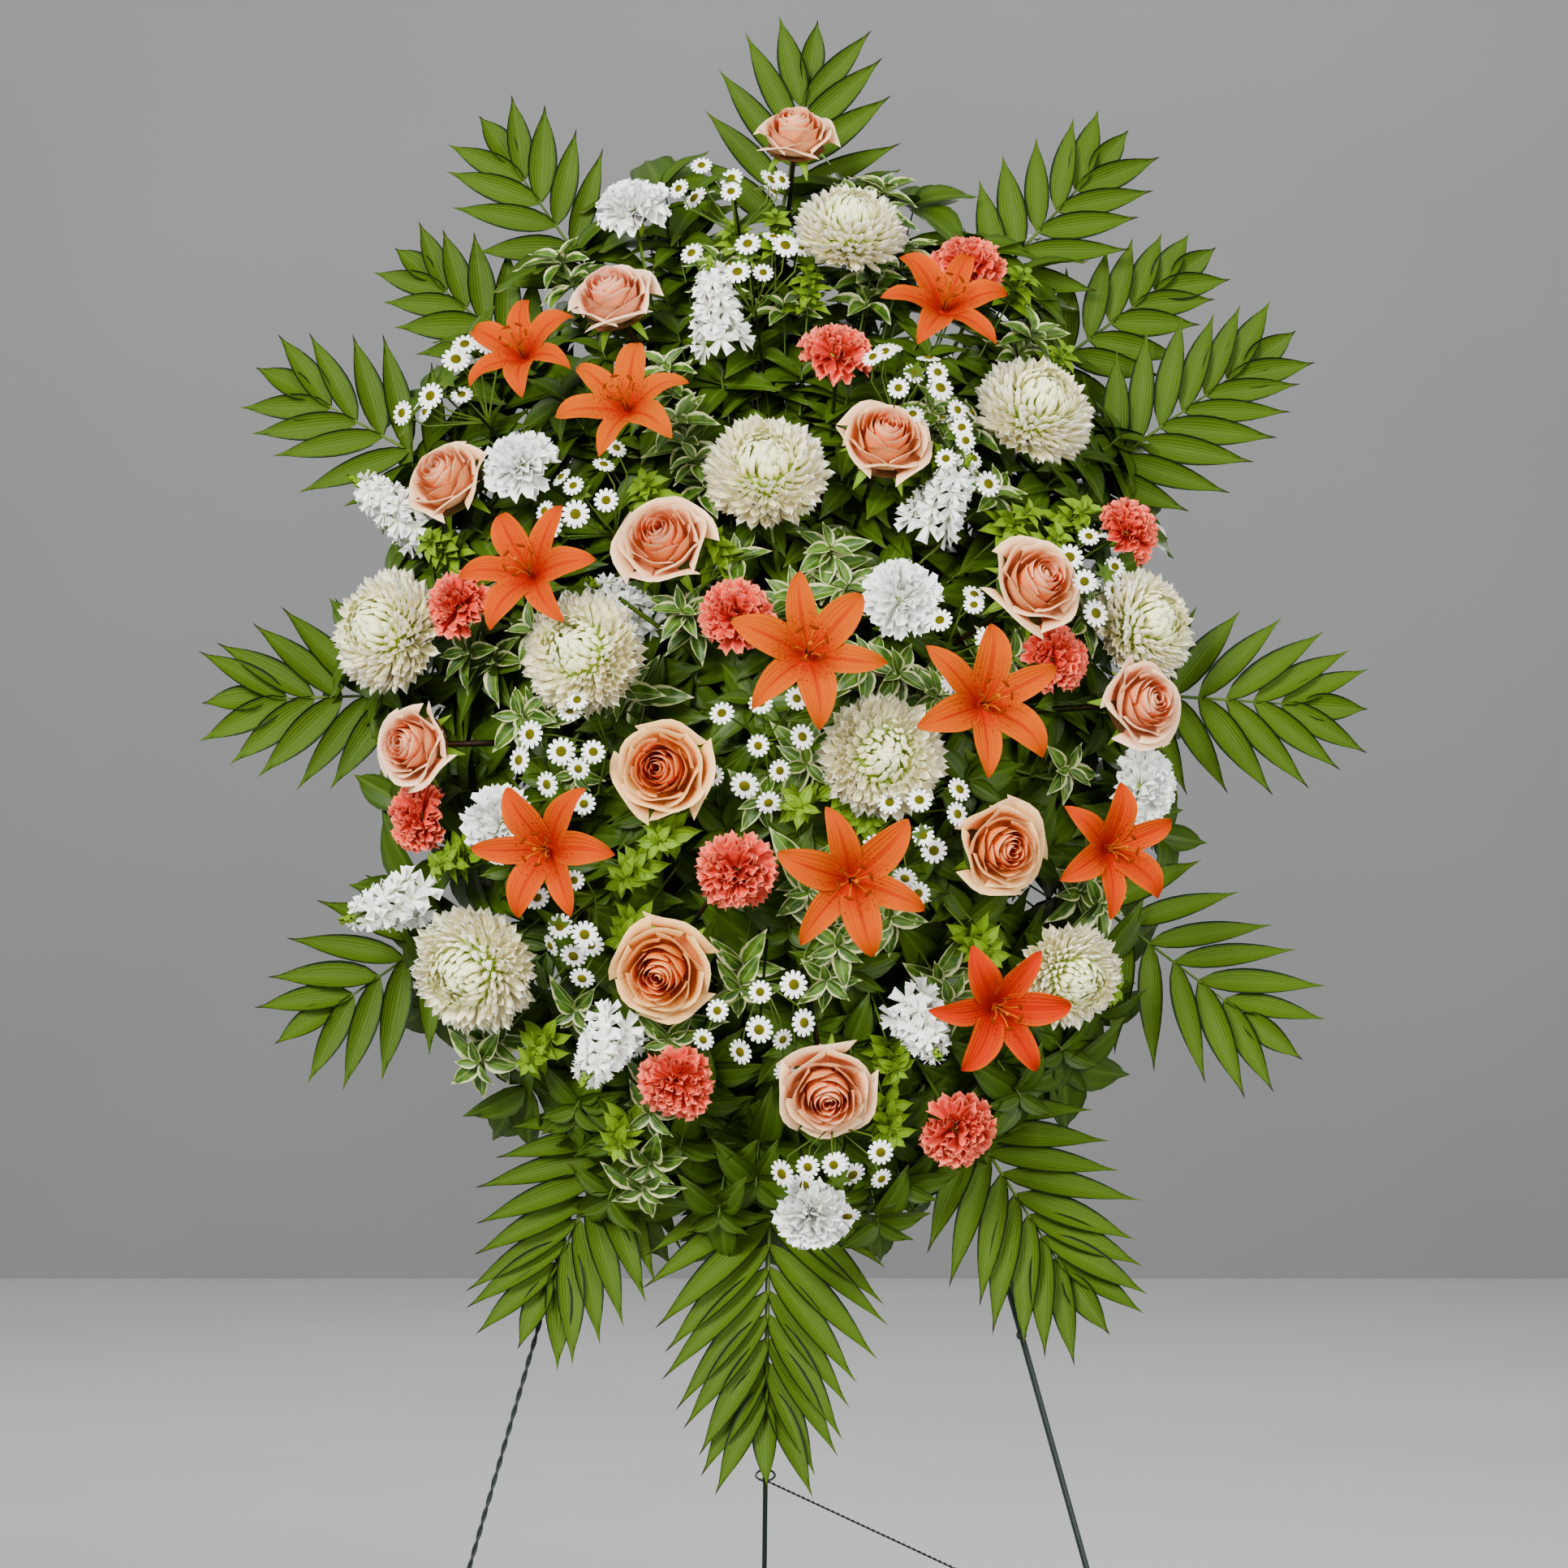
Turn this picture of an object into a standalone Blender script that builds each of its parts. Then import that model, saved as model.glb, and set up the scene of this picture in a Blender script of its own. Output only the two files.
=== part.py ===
"""Standing funeral spray on a folding wire easel, in metres, +Z up, front towards -Y.

The easel's two front legs lean back to a pin at the top, and a rear leg folds about that pin.
A block of floral foam hangs in front of them. Stems leave it straight, then branch and bend round
each other to their flowers.
"""

import math

import bmesh
import bpy
import numpy as np
from mathutils import Matrix, Vector

# Easel, from the floor up
APEX_HEIGHT = 1.29
FRONT_RUN = 0.30
REAR_RUN = 0.35
LEFT_FOOT_X = -0.384
RIGHT_FOOT_X = 0.371
REAR_FOOT_X = -0.022
LEFT_WIRE = 0.0022
RIGHT_WIRE = 0.0026
REAR_WIRE = 0.0022
CROSS_WIRE = 0.0020
STAY_WIRE = 0.0012
RUNNING_GAP = 0.0004
REST_GAP = 0.0003
LEFT_EYE_X = -0.018
REAR_EYE_X = -0.007
PIN_END_X = -0.026
PIN_BEND_X = 0.004
BEAD_HEIGHT = 0.62
BEAD_RADIUS = 0.0045
CROSS_HEIGHTS = {"cross_wire_upper": 1.185, "cross_wire_lower": 0.99}

# Stay and its ring
RING_HEIGHT = 0.465
RING_RADIUS = 0.0085
RING_WIRE = 0.0011
STAY_END_HEIGHT = 0.374

# Foam holder
FOAM_WIDTH = 0.110
FOAM_DEPTH = 0.080
FOAM_LENGTH = 0.230
FOAM_HEIGHT = 1.13
TRAY_WALL = 0.003
TRAY_RIM = 0.022
HOOK_WIDTH = 0.014
HOOK_SPACING = 0.046
HOOK_DROP = 0.018
HOLE_GAP = 0.0006
STEM_SINK = 0.020
FORK_OUT = 0.012

# How a stem bends round what is in its way
SAMPLE_STEP = 0.003
ROOM_WANTED = 0.0016
BOWS = (0.006, 0.012, 0.020, 0.030, 0.042, 0.056)
BOW_STEPS = 3
BOW_WAYS = 10
TRUNK_LEANS = (0, 3, 6, 9, 13, 18)

# Where stems meet, in front of the middle of the foam
FROND_ROOT_OUT = 0.002
BLOOM_ROOT_OUT = 0.004

# The dome of flowers: its middle, its half width and height, and its depth at the rim and middle
DOME_X = -0.01
DOME_Z = 1.15
DOME_HALF_WIDTH = 0.36
DOME_HALF_HEIGHT = 0.52
DOME_RIM_DEPTH = 0.115
DOME_RISE = 0.150
HEAD_GAP = 0.003
SETTLE_ROUNDS = 400
ROLL_STEP = 0.7
NEAREST_DEPTH = 0.105
FURTHEST_DEPTH = 0.345

# Edges sharper than this many degrees stay sharp
SHARP_ANGLE = 50

# Radii of the heads, their share of forward set, and their stems
HEADS = {
    "rose": {"radius": 0.040, "forward": 0.000, "stem": 0.0030, "facing": 0.9},
    "mum": {"radius": 0.047, "forward": 0.000, "stem": 0.0030, "facing": 0.7},
    "lily": {"radius": 0.035, "forward": 0.050, "stem": 0.0026, "facing": 1.4},
    "carnation": {"radius": 0.031, "forward": 0.000, "stem": 0.0020, "facing": 0.8},
    "white_carnation": {"radius": 0.031, "forward": 0.000, "stem": 0.0020, "facing": 0.8},
    "stock": {"radius": 0.022, "forward": -0.010, "stem": 0.0022, "facing": 0.5},
    "daisy": {"radius": 0.018, "forward": 0.010, "stem": 0.0014, "facing": 1.0},
    "greens": {"radius": 0.019, "forward": -0.040, "stem": 0.0018, "facing": 0.8},
}

# Each flower: node, kind, place across and above the floor, size against its kind, and
# how far it stands out of the dome
FLOWERS = [
    ("roses_top", "rose", 0.010, 1.640, 0.90, 0.0),
    ("roses_top", "rose", -0.145, 1.495, 1.00, 0.0),
    ("rose_upper_middle", "rose", 0.085, 1.370, 1.05, 0.0),
    ("rose_left_high", "rose", -0.285, 1.340, 1.00, 0.0),
    ("rose_centre_high", "rose", -0.100, 1.285, 1.10, 0.0),
    ("roses_right_inner", "rose", 0.210, 1.250, 1.10, 0.0),
    ("rose_right", "rose", 0.300, 1.150, 1.00, 0.0),
    ("roses_left_inner", "rose", -0.310, 1.115, 0.95, 0.0),
    ("roses_left_inner", "rose", -0.100, 1.095, 1.10, 0.0),
    ("roses_right_inner", "rose", 0.180, 1.030, 1.05, 0.0),
    ("roses_low", "rose", -0.100, 0.930, 1.15, 0.0),
    ("roses_low", "rose", 0.035, 0.830, 1.10, 0.0),
    ("mums_top", "mum", 0.055, 1.550, 0.95, 0.0),
    ("mums_top", "mum", 0.210, 1.395, 1.05, 0.0),
    ("mums_centre", "mum", -0.015, 1.340, 1.05, 0.0),
    ("mum_left", "mum", -0.330, 1.210, 1.05, 0.030),
    ("mums_left_inner", "mum", -0.165, 1.190, 1.05, 0.020),
    ("mum_right", "mum", 0.300, 1.215, 1.00, 0.0),
    ("mums_centre", "mum", 0.080, 1.105, 1.05, 0.0),
    ("mums_left_inner", "mum", -0.255, 0.930, 1.10, 0.0),
    ("mum_low_right", "mum", 0.235, 0.925, 0.90, 0.0),
    ("lilies_upper", "lily", 0.135, 1.485, 0.95, 0.0),
    ("lilies_upper", "lily", -0.220, 1.445, 0.90, 0.0),
    ("lilies_centre", "lily", -0.132, 1.398, 0.97, 0.0),
    ("lilies_left", "lily", -0.210, 1.258, 1.00, 0.015),
    ("lilies_centre", "lily", 0.020, 1.190, 1.12, 0.026),
    ("lilies_right_inner", "lily", 0.165, 1.150, 1.10, 0.0),
    ("lilies_left", "lily", -0.195, 1.030, 1.00, 0.0),
    ("lilies_right_inner", "lily", 0.055, 1.005, 1.10, 0.0),
    ("lilies_right", "lily", 0.270, 1.030, 0.95, 0.0),
    ("lilies_right", "lily", 0.175, 0.900, 1.00, 0.0),
    ("carnations_upper", "carnation", 0.160, 1.530, 1.00, 0.0),
    ("carnations_upper", "carnation", 0.045, 1.450, 0.95, 0.0),
    ("carnations_right", "carnation", 0.295, 1.300, 0.90, 0.0),
    ("carnations_right", "carnation", 0.230, 1.190, 0.95, 0.0),
    ("carnations_left_inner", "carnation", -0.275, 1.235, 0.90, 0.0),
    ("carnations_left_low", "carnation", -0.310, 1.055, 0.90, 0.0),
    ("carnations_left_inner", "carnation", -0.040, 1.225, 1.00, 0.0),
    ("carnations_left_low", "carnation", -0.040, 1.010, 1.00, 0.0),
    ("carnations_low", "carnation", -0.090, 0.835, 1.00, 0.0),
    ("carnations_low", "carnation", 0.145, 0.795, 1.00, 0.0),
    ("white_carnations_left", "white_carnation", -0.130, 1.580, 1.00, 0.0),
    ("white_carnations_left", "white_carnation", -0.225, 1.355, 1.00, 0.0),
    ("white_carnations_right", "white_carnation", 0.100, 1.240, 1.05, 0.0),
    ("white_carnations_right", "white_carnation", 0.305, 1.080, 1.00, 0.0),
    ("white_carnations_low", "white_carnation", -0.240, 1.050, 1.00, 0.0),
    ("white_carnations_low", "white_carnation", 0.025, 0.725, 1.00, 0.0),
    ("stocks_upper", "stock", -0.055, 1.470, 1.00, 0.0),
    ("stocks_left", "stock", -0.320, 1.310, 1.00, 0.0),
    ("stocks_right", "stock", 0.130, 1.315, 1.00, -0.020),
    ("stocks_upper", "stock", -0.130, 1.225, 1.00, -0.060),
    ("stocks_left", "stock", -0.320, 0.985, 1.00, 0.0),
    ("stocks_right", "stock", 0.110, 0.890, 1.00, 0.0),
    ("stock_low", "stock", -0.145, 0.870, 1.00, 0.0),
    ("daisies_top", "daisy", -0.045, 1.600, 1.00, 0.0),
    ("daisies_top", "daisy", -0.030, 1.530, 1.00, 0.0),
    ("daisies_left", "daisy", -0.285, 1.425, 1.00, 0.0),
    ("daisies_top", "daisy", 0.110, 1.430, 1.00, 0.0),
    ("daisies_left", "daisy", -0.170, 1.325, 1.00, 0.0),
    ("daisies_right", "daisy", 0.145, 1.375, 1.00, 0.0),
    ("daisies_right", "daisy", 0.270, 1.260, 1.00, 0.0),
    ("daisies_right", "daisy", 0.165, 1.200, 1.00, 0.0),
    ("daisies_left", "daisy", -0.180, 1.110, 1.00, 0.0),
    ("daisies_low", "daisy", -0.020, 1.115, 1.00, 0.0),
    ("daisies_low", "daisy", 0.115, 1.040, 1.00, 0.0),
    ("daisies_low", "daisy", -0.185, 0.965, 1.00, 0.0),
    ("daisies_low", "daisy", -0.020, 0.885, 1.00, 0.0),
    ("daisies_low", "daisy", 0.045, 0.760, 1.00, 0.0),
    ("greens_upper", "greens", -0.020, 1.070, 1.00, 0.0),
    ("greens_upper", "greens", -0.040, 1.275, 1.00, 0.0),
    ("greens_lower", "greens", 0.035, 0.920, 1.00, 0.0),
    ("greens_lower", "greens", -0.175, 1.090, 1.00, -0.010),
    ("greens_upper", "greens", 0.180, 1.330, 1.00, 0.0),
    ("greens_lower", "greens", 0.240, 1.095, 1.00, 0.0),
    ("greens_upper", "greens", 0.000, 1.490, 1.00, 0.0),
    ("greens_lower", "greens", -0.175, 0.893, 1.00, 0.0),
]

# Palm fronds: where the leaflets start, the tip of the rib, depth, pairs, leaflet length
FRONDS = {
    "frond_top": ((-0.005, 1.560), (0.020, 1.690), 0.045, 7, 0.105),
    "frond_upper_left": ((-0.165, 1.520), (-0.235, 1.620), 0.050, 7, 0.090),
    "frond_upper_right": ((0.165, 1.500), (0.265, 1.610), 0.050, 7, 0.090),
    "frond_right_high": ((0.240, 1.330), (0.395, 1.440), 0.060, 7, 0.095),
    "frond_left_high": ((-0.270, 1.340), (-0.405, 1.415), 0.060, 7, 0.095),
    "frond_left": ((-0.300, 1.160), (-0.440, 1.155), 0.050, 7, 0.100),
    "frond_right": ((0.300, 1.160), (0.440, 1.150), 0.050, 7, 0.100),
    "frond_right_low": ((0.260, 0.985), (0.385, 0.890), 0.060, 7, 0.110),
    "frond_left_low": ((-0.270, 0.970), (-0.378, 0.895), 0.060, 7, 0.100),
    "frond_bottom_left": ((-0.120, 0.830), (-0.195, 0.670), 0.050, 7, 0.112),
    "frond_bottom": ((-0.010, 0.820), (-0.015, 0.570), 0.065, 10, 0.126),
    "frond_bottom_right": ((0.135, 0.830), (0.235, 0.675), 0.050, 7, 0.112),
    "frond_back_right": ((0.200, 1.420), (0.335, 1.520), 0.032, 6, 0.080),
    "frond_back_left": ((-0.200, 1.430), (-0.305, 1.520), 0.032, 6, 0.080),
}
LEAFLET_WIDTH = 0.011
FROND_THICKNESS = 0.0010
FROND_STEM = 0.0020

# Colour, roughness and metallic value of each finish
FINISHES = {
    "wire": ((0.02, 0.06, 0.035), 0.45, 0.6),
    "tray": ((0.03, 0.12, 0.05), 0.45, 0.0),
    "foam": ((0.05, 0.20, 0.08), 0.95, 0.0),
    "frond": ((0.06, 0.22, 0.05), 0.50, 0.0),
    "rose": ((0.95, 0.58, 0.38), 0.60, 0.0),
    "mum": ((0.90, 0.88, 0.70), 0.65, 0.0),
    "lily": ((0.92, 0.30, 0.06), 0.50, 0.0),
    "carnation": ((0.90, 0.30, 0.26), 0.65, 0.0),
    "white_carnation": ((0.92, 0.92, 0.88), 0.65, 0.0),
    "stock": ((0.90, 0.92, 0.86), 0.65, 0.0),
    "daisy": ((0.93, 0.94, 0.90), 0.60, 0.0),
    "greens": ((0.20, 0.34, 0.14), 0.55, 0.0),
}


def clear_scene():
    for obj in list(bpy.data.objects):
        bpy.data.objects.remove(obj, do_unlink=True)


def make_collections():
    model = bpy.data.collections.new("funeral_spray")
    bpy.context.scene.collection.children.link(model)
    return model


MATERIALS = {}
SLIVER_WIDTHS = (0.00008, 0.00004, 0.00002, 0.00001)
VOLUME_KEPT = 0.002
CLEAN_ROUNDS = 3


def finish(name):
    if name not in MATERIALS:
        colour, roughness, metallic = FINISHES[name]
        material = bpy.data.materials.new(name)
        material.use_nodes = True
        shader = material.node_tree.nodes["Principled BSDF"]
        shader.inputs["Base Color"].default_value = (*colour, 1.0)
        shader.inputs["Roughness"].default_value = roughness
        shader.inputs["Metallic"].default_value = metallic
        MATERIALS[name] = material
    return MATERIALS[name]


def link_mesh(name, mesh):
    obj = bpy.data.objects.new(name, mesh)
    model.objects.link(obj)
    return obj


def from_bmesh(name, bm):
    mesh = bpy.data.meshes.new(name)
    bm.to_mesh(mesh)
    bm.free()
    return link_mesh(name, mesh)


def wire(name, points, radius, resolution=0):
    """A round wire or stem along the points, as a closed mesh."""
    curve = bpy.data.curves.new(name, "CURVE")
    curve.dimensions = "3D"
    curve.bevel_depth = radius
    curve.bevel_resolution = resolution
    curve.use_fill_caps = True
    spline = curve.splines.new("POLY")
    spline.points.add(len(points) - 1)
    for point, place in zip(spline.points, points):
        point.co = (*place, 1.0)
    curved = bpy.data.objects.new(name + "_curve", curve)
    model.objects.link(curved)
    bpy.context.view_layer.update()
    evaluated = curved.evaluated_get(bpy.context.evaluated_depsgraph_get())
    mesh = bpy.data.meshes.new_from_object(evaluated)
    bpy.data.objects.remove(curved, do_unlink=True)
    weld(mesh)
    return link_mesh(name, mesh)


def weld(mesh):
    bm = bmesh.new()
    bm.from_mesh(mesh)
    bmesh.ops.remove_doubles(bm, verts=bm.verts, dist=0.00001)
    bmesh.ops.recalc_face_normals(bm, faces=bm.faces)
    bm.to_mesh(mesh)
    bm.free()


def ring(name, centre, axis, major, minor, steps=12, sides=5):
    """A torus with its hole along the axis."""
    bpy.ops.mesh.primitive_torus_add(
        major_radius=major, minor_radius=minor, major_segments=steps, minor_segments=sides
    )
    obj = bpy.context.object
    obj.name = name
    turn = Vector(axis).to_track_quat("Z", "Y").to_matrix().to_4x4()
    obj.data.transform(Matrix.Translation(centre) @ turn)
    for home in list(obj.users_collection):
        home.objects.unlink(obj)
    model.objects.link(obj)
    return obj


def ball(name, centre, radius, segments=8, rings=5):
    bm = bmesh.new()
    bmesh.ops.create_uvsphere(bm, u_segments=segments, v_segments=rings, radius=radius)
    bmesh.ops.translate(bm, verts=bm.verts, vec=Vector(centre))
    return from_bmesh(name, bm)


def applied(obj):
    """Makes the object's modifiers part of its mesh."""
    bpy.context.view_layer.update()
    evaluated = obj.evaluated_get(bpy.context.evaluated_depsgraph_get())
    mesh = bpy.data.meshes.new_from_object(evaluated)
    obj.modifiers.clear()
    obj.data = mesh


def combine(name, pieces, operation, solver):
    """One Boolean on the first piece with all the others, which are then removed."""
    base = pieces[0]
    others = bpy.data.collections.new(name + "_pieces")
    bpy.context.scene.collection.children.link(others)
    for piece in pieces[1:]:
        others.objects.link(piece)
    change = base.modifiers.new("combine", "BOOLEAN")
    change.operand_type = "COLLECTION"
    change.collection = others
    change.operation = operation
    change.solver = solver
    applied(base)
    for piece in pieces[1:]:
        bpy.data.objects.remove(piece, do_unlink=True)
    bpy.data.collections.remove(others)
    base.name = name
    return base


def one_body(bm):
    """Whether every vertex can be reached from the first along edges."""
    bm.verts.ensure_lookup_table()
    seen = {bm.verts[0]}
    front = [bm.verts[0]]
    while front:
        for edge in front.pop().link_edges:
            for vert in edge.verts:
                if vert not in seen:
                    seen.add(vert)
                    front.append(vert)
    return len(seen) == len(bm.verts)


def clean_joints(mesh):
    """Closes up the slivers that fusing leaves, where that keeps the mesh closed and whole."""
    for dist in SLIVER_WIDTHS:
        bm = bmesh.new()
        bm.from_mesh(mesh)
        bmesh.ops.triangulate(bm, faces=bm.faces[:])
        before = bm.calc_volume()
        for _ in range(CLEAN_ROUNDS):
            bmesh.ops.dissolve_degenerate(bm, dist=dist, edges=bm.edges)
            bmesh.ops.triangulate(bm, faces=[face for face in bm.faces if len(face.verts) > 3])
        closed = all(edge.is_manifold for edge in bm.edges)
        same = abs(bm.calc_volume() - before) < abs(before) * VOLUME_KEPT
        if closed and same and one_body(bm):
            bm.to_mesh(mesh)
            bm.free()
            return
        bm.free()


def node(name, pieces, look, solver="MANIFOLD"):
    """A finished node: its pieces fused, with its finish."""
    obj = combine(name, pieces, "UNION", solver) if len(pieces) > 1 else pieces[0]
    if solver == "MANIFOLD" and len(pieces) > 1 and look != "tray":
        clean_joints(obj.data)
    obj.name = name
    obj.data.name = name
    finish_mesh(obj.data, look)
    return obj


def finish_mesh(mesh, look):
    mesh.materials.clear()
    mesh.materials.append(finish(look))
    mesh.shade_smooth()
    mesh.set_sharp_from_angle(angle=math.radians(SHARP_ANGLE))


# The easel's plane and the dome

def plane_y(z):
    return -FRONT_RUN * (1 - z / APEX_HEIGHT)


def spot(x, z, depth):
    """A place given across, above the floor, and in front of the easel's plane."""
    return Vector((x, plane_y(z) - depth, z))


LEAN = math.atan(FRONT_RUN / APEX_HEIGHT)
OUTWARD = Vector((0, -math.cos(LEAN), math.sin(LEAN)))
ALONG = Vector((0, math.sin(LEAN), math.cos(LEAN)))
CROSS_DEPTH = RIGHT_WIRE + REST_GAP + CROSS_WIRE
FOAM_REACH = CROSS_WIRE + TRAY_WALL + 2 * REST_GAP + FOAM_DEPTH / 2
FOAM_CENTRE = spot(0, FOAM_HEIGHT, CROSS_DEPTH + FOAM_REACH / math.cos(LEAN))
FROND_ROOT = FOAM_CENTRE + OUTWARD * FROND_ROOT_OUT
BLOOM_ROOT = FOAM_CENTRE + OUTWARD * BLOOM_ROOT_OUT


def dome_depth(x, z):
    reach = ((x - DOME_X) / DOME_HALF_WIDTH) ** 2 + ((z - DOME_Z) / DOME_HALF_HEIGHT) ** 2
    return DOME_RIM_DEPTH + DOME_RISE * max(0.0, 1 - reach)


def settle():
    """Flowers that would press into each other move apart, one forward and one back."""
    heads = []
    for name, kind, x, z, size, ahead in FLOWERS:
        depth = dome_depth(x, z) + HEADS[kind]["forward"] + ahead
        heads.append([x, z, depth, HEADS[kind]["radius"] * size])
    for _ in range(SETTLE_ROUNDS):
        moved = False
        for i, first in enumerate(heads):
            for second in heads[i + 1:]:
                across = math.hypot(first[0] - second[0], first[1] - second[1])
                need = first[3] + second[3] + HEAD_GAP
                if across >= need:
                    continue
                apart = math.sqrt(need ** 2 - across ** 2)
                short = apart - abs(first[2] - second[2])
                if short < 0.0002:
                    continue
                side = 1 if first[2] >= second[2] else -1
                first[2] += side * short * 0.35
                second[2] -= side * short * 0.35
                moved = True
        for head in heads:
            head[2] = min(max(head[2], NEAREST_DEPTH), FURTHEST_DEPTH)
        if not moved:
            break
    return [spot(x, z, depth) for x, z, depth, radius in heads]


# Stems in the foam

def foam_exit(root, towards):
    """How far a ray from the root runs before it leaves the foam."""
    way = (towards - root).normalized()
    start = root - FOAM_CENTRE
    reach = 1.0
    halves = (FOAM_WIDTH / 2, FOAM_DEPTH / 2, FOAM_LENGTH / 2)
    for axis, half in zip((Vector((1, 0, 0)), OUTWARD, ALONG), halves):
        rate = way.dot(axis)
        if abs(rate) > 1e-6:
            side = half if rate > 0 else -half
            reach = min(reach, (side - start.dot(axis)) / rate)
    return reach


HOLES = []
TAKEN = []
BALLS = []


def spaced(path):
    """Points every few millimetres along a path."""
    found = []
    for start, end in zip(path, path[1:]):
        steps = max(2, int((end - start).length / SAMPLE_STEP))
        found += [start.lerp(end, k / steps) for k in range(steps + 1)]
    return np.array([tuple(point) for point in found])


def take(path, radius):
    points = spaced(path)
    TAKEN.append(np.column_stack([points, np.full(len(points), radius)]))


def room_round(path, radius, own):
    """The least gap between a stem along this path and the heads and stems set so far."""
    points = spaced(path)
    others = [np.array([(*place, size)]) for owner, place, size in BALLS if owner not in own] + TAKEN
    stack = np.concatenate(others)
    gaps = np.linalg.norm(points[:, None, :] - stack[None, :, :3], axis=2) - stack[None, :, 3]
    return gaps.min() - radius


def foam_room(path, radius):
    """The least gap between a path outside the foam and the foam's faces."""
    least = 1.0
    for point in spaced(path)[4:]:
        shift = Vector(point) - FOAM_CENTRE
        outside = [
            abs(shift.x) - FOAM_WIDTH / 2,
            abs(shift.dot(OUTWARD)) - FOAM_DEPTH / 2,
            abs(shift.dot(ALONG)) - FOAM_LENGTH / 2,
        ]
        least = min(least, max(outside))
    return least - radius


def bowed(start, end, bow):
    """A path that leaves the straight line by the bow at its middle."""
    path = []
    for k in range(BOW_STEPS + 1):
        share = k / BOW_STEPS
        path.append(start.lerp(end, share) + bow * math.sin(math.pi * share))
    return path


def route(start, end, radius, own):
    """The straightest way from start to end that keeps clear of what is there."""
    straight = [start, end]
    best = min(room_round(straight, radius, own), foam_room(straight, radius))
    chosen = straight
    way = (end - start).normalized()
    across = way.orthogonal().normalized()
    for reach in BOWS:
        if best > ROOM_WANTED:
            break
        for k in range(BOW_WAYS):
            bow = Matrix.Rotation(k * math.tau / BOW_WAYS, 3, way) @ across * reach
            path = bowed(start, end, bow)
            room = min(room_round(path, radius, own), foam_room(path, radius))
            if room > best:
                best = room
                chosen = path
    return chosen


def trunk_way(middle, radius, own):
    """The way out of the foam nearest to the middle of a stem's heads that is free."""
    across = middle.orthogonal().normalized()
    best = -1.0
    for lean in TRUNK_LEANS:
        for k in range(BOW_WAYS):
            tilt = across * math.tan(math.radians(lean))
            way = (middle + Matrix.Rotation(k * math.tau / BOW_WAYS, 3, middle) @ tilt).normalized()
            path = trunk_path(BLOOM_ROOT, way)
            room = room_round(path, radius, own)
            if room > best:
                best = room
                chosen = way
        if best > ROOM_WANTED:
            break
    return chosen


def trunk_path(root, way):
    reach = foam_exit(root, root + way)
    return [root + way * (reach - STEM_SINK), root + way * (reach + FORK_OUT)]


def stem(name, root, way, end, radius, resolution=0):
    """A straight stem from inside the foam to its end, with its hole noted for the foam."""
    start, fork = trunk_path(root, way)
    HOLES.append((start - way * REST_GAP, fork, radius + HOLE_GAP, resolution))
    return wire(name, [start, end], radius, resolution)


def facing_turn(way, roll=0.0):
    """Turns a head built facing +Z to face along the given way."""
    return (way.to_track_quat("Z", "Y").to_matrix() @ Matrix.Rotation(roll, 3, "Z")).to_4x4()


def head_way(place, facing):
    ray = (place - BLOOM_ROOT).normalized()
    return (ray + OUTWARD * facing).normalized()


# Flower heads, built facing +Z at the origin

def ringed(name, segments, rings, relief):
    """A ball whose rings take new radii and heights, ruffled round the axis, with a flat back."""
    bm = bmesh.new()
    steps = len(rings) + 1
    bmesh.ops.create_uvsphere(bm, u_segments=segments, v_segments=steps, radius=1.0)
    for vert in bm.verts[:]:
        row = round(math.acos(max(-1.0, min(1.0, vert.co.z))) / (math.pi / steps))
        angle = math.atan2(vert.co.y, vert.co.x)
        if row == steps:
            back = vert
            continue
        if row == 0:
            vert.co = Vector((0, 0, relief(-1, 0)[1]))
            continue
        radius, height = rings[row - 1]
        swell, lift = relief(row - 1, angle)
        flat = row == steps - 1
        radius *= swell
        vert.co = Vector((radius * math.cos(angle), radius * math.sin(angle), height + (0 if flat else lift)))
    back.co = Vector((0, 0, rings[-1][1]))
    bmesh.ops.dissolve_verts(bm, verts=[back])
    return from_bmesh(name, bm)


ROSE_RINGS = [(0.34, 0.50), (0.62, 0.46), (0.72, 0.14), (1.00, 0.24), (0.68, -0.42)]
ROSE_LOBES = [(3, 0.14, 0.0), (5, 0.09, 0.9), (5, 0.06, 0.4), (5, 0.10, 0.0), (5, 0.04, 0.0)]

ROSE_HEART = 0.30


def rose_head(name, size):
    def relief(row, angle):
        if row < 0:
            return 1.0, ROSE_HEART
        count, depth, phase = ROSE_LOBES[row]
        wave = math.cos(count * angle + phase * math.pi)
        return 1 + depth * wave, 0.10 * wave * ROSE_RINGS[row][0]
    obj = ringed(name, 15, ROSE_RINGS, relief)
    obj.data.transform(Matrix.Scale(size, 4))
    return obj


def mum_head(name, size):
    bm = bmesh.new()
    bmesh.ops.create_icosphere(bm, subdivisions=2, radius=0.80)
    poked = bmesh.ops.poke(bm, faces=bm.faces[:])
    for vert in poked["verts"]:
        reach = 1.08 if vert.co.z > -0.35 else 0.94
        vert.co = vert.co.normalized() * reach
    obj = from_bmesh(name, bm)
    obj.data.transform(Matrix.Diagonal((size, size, size * 0.86, 1)))
    return obj


CARNATION_RINGS = [(0.48, 0.46), (0.96, 0.20), (0.44, -0.52)]
CARNATION_RUFFLES = 6
CARNATION_TOP = 0.40


def carnation_head(name, size):
    def relief(row, angle):
        if row < 0:
            return 1.0, CARNATION_TOP
        wave = math.cos(CARNATION_RUFFLES * angle + row * math.pi)
        return 1 + 0.13 * wave, 0.12 * wave
    obj = ringed(name, 2 * CARNATION_RUFFLES, CARNATION_RINGS, relief)
    obj.data.transform(Matrix.Scale(size, 4))
    return obj


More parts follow.
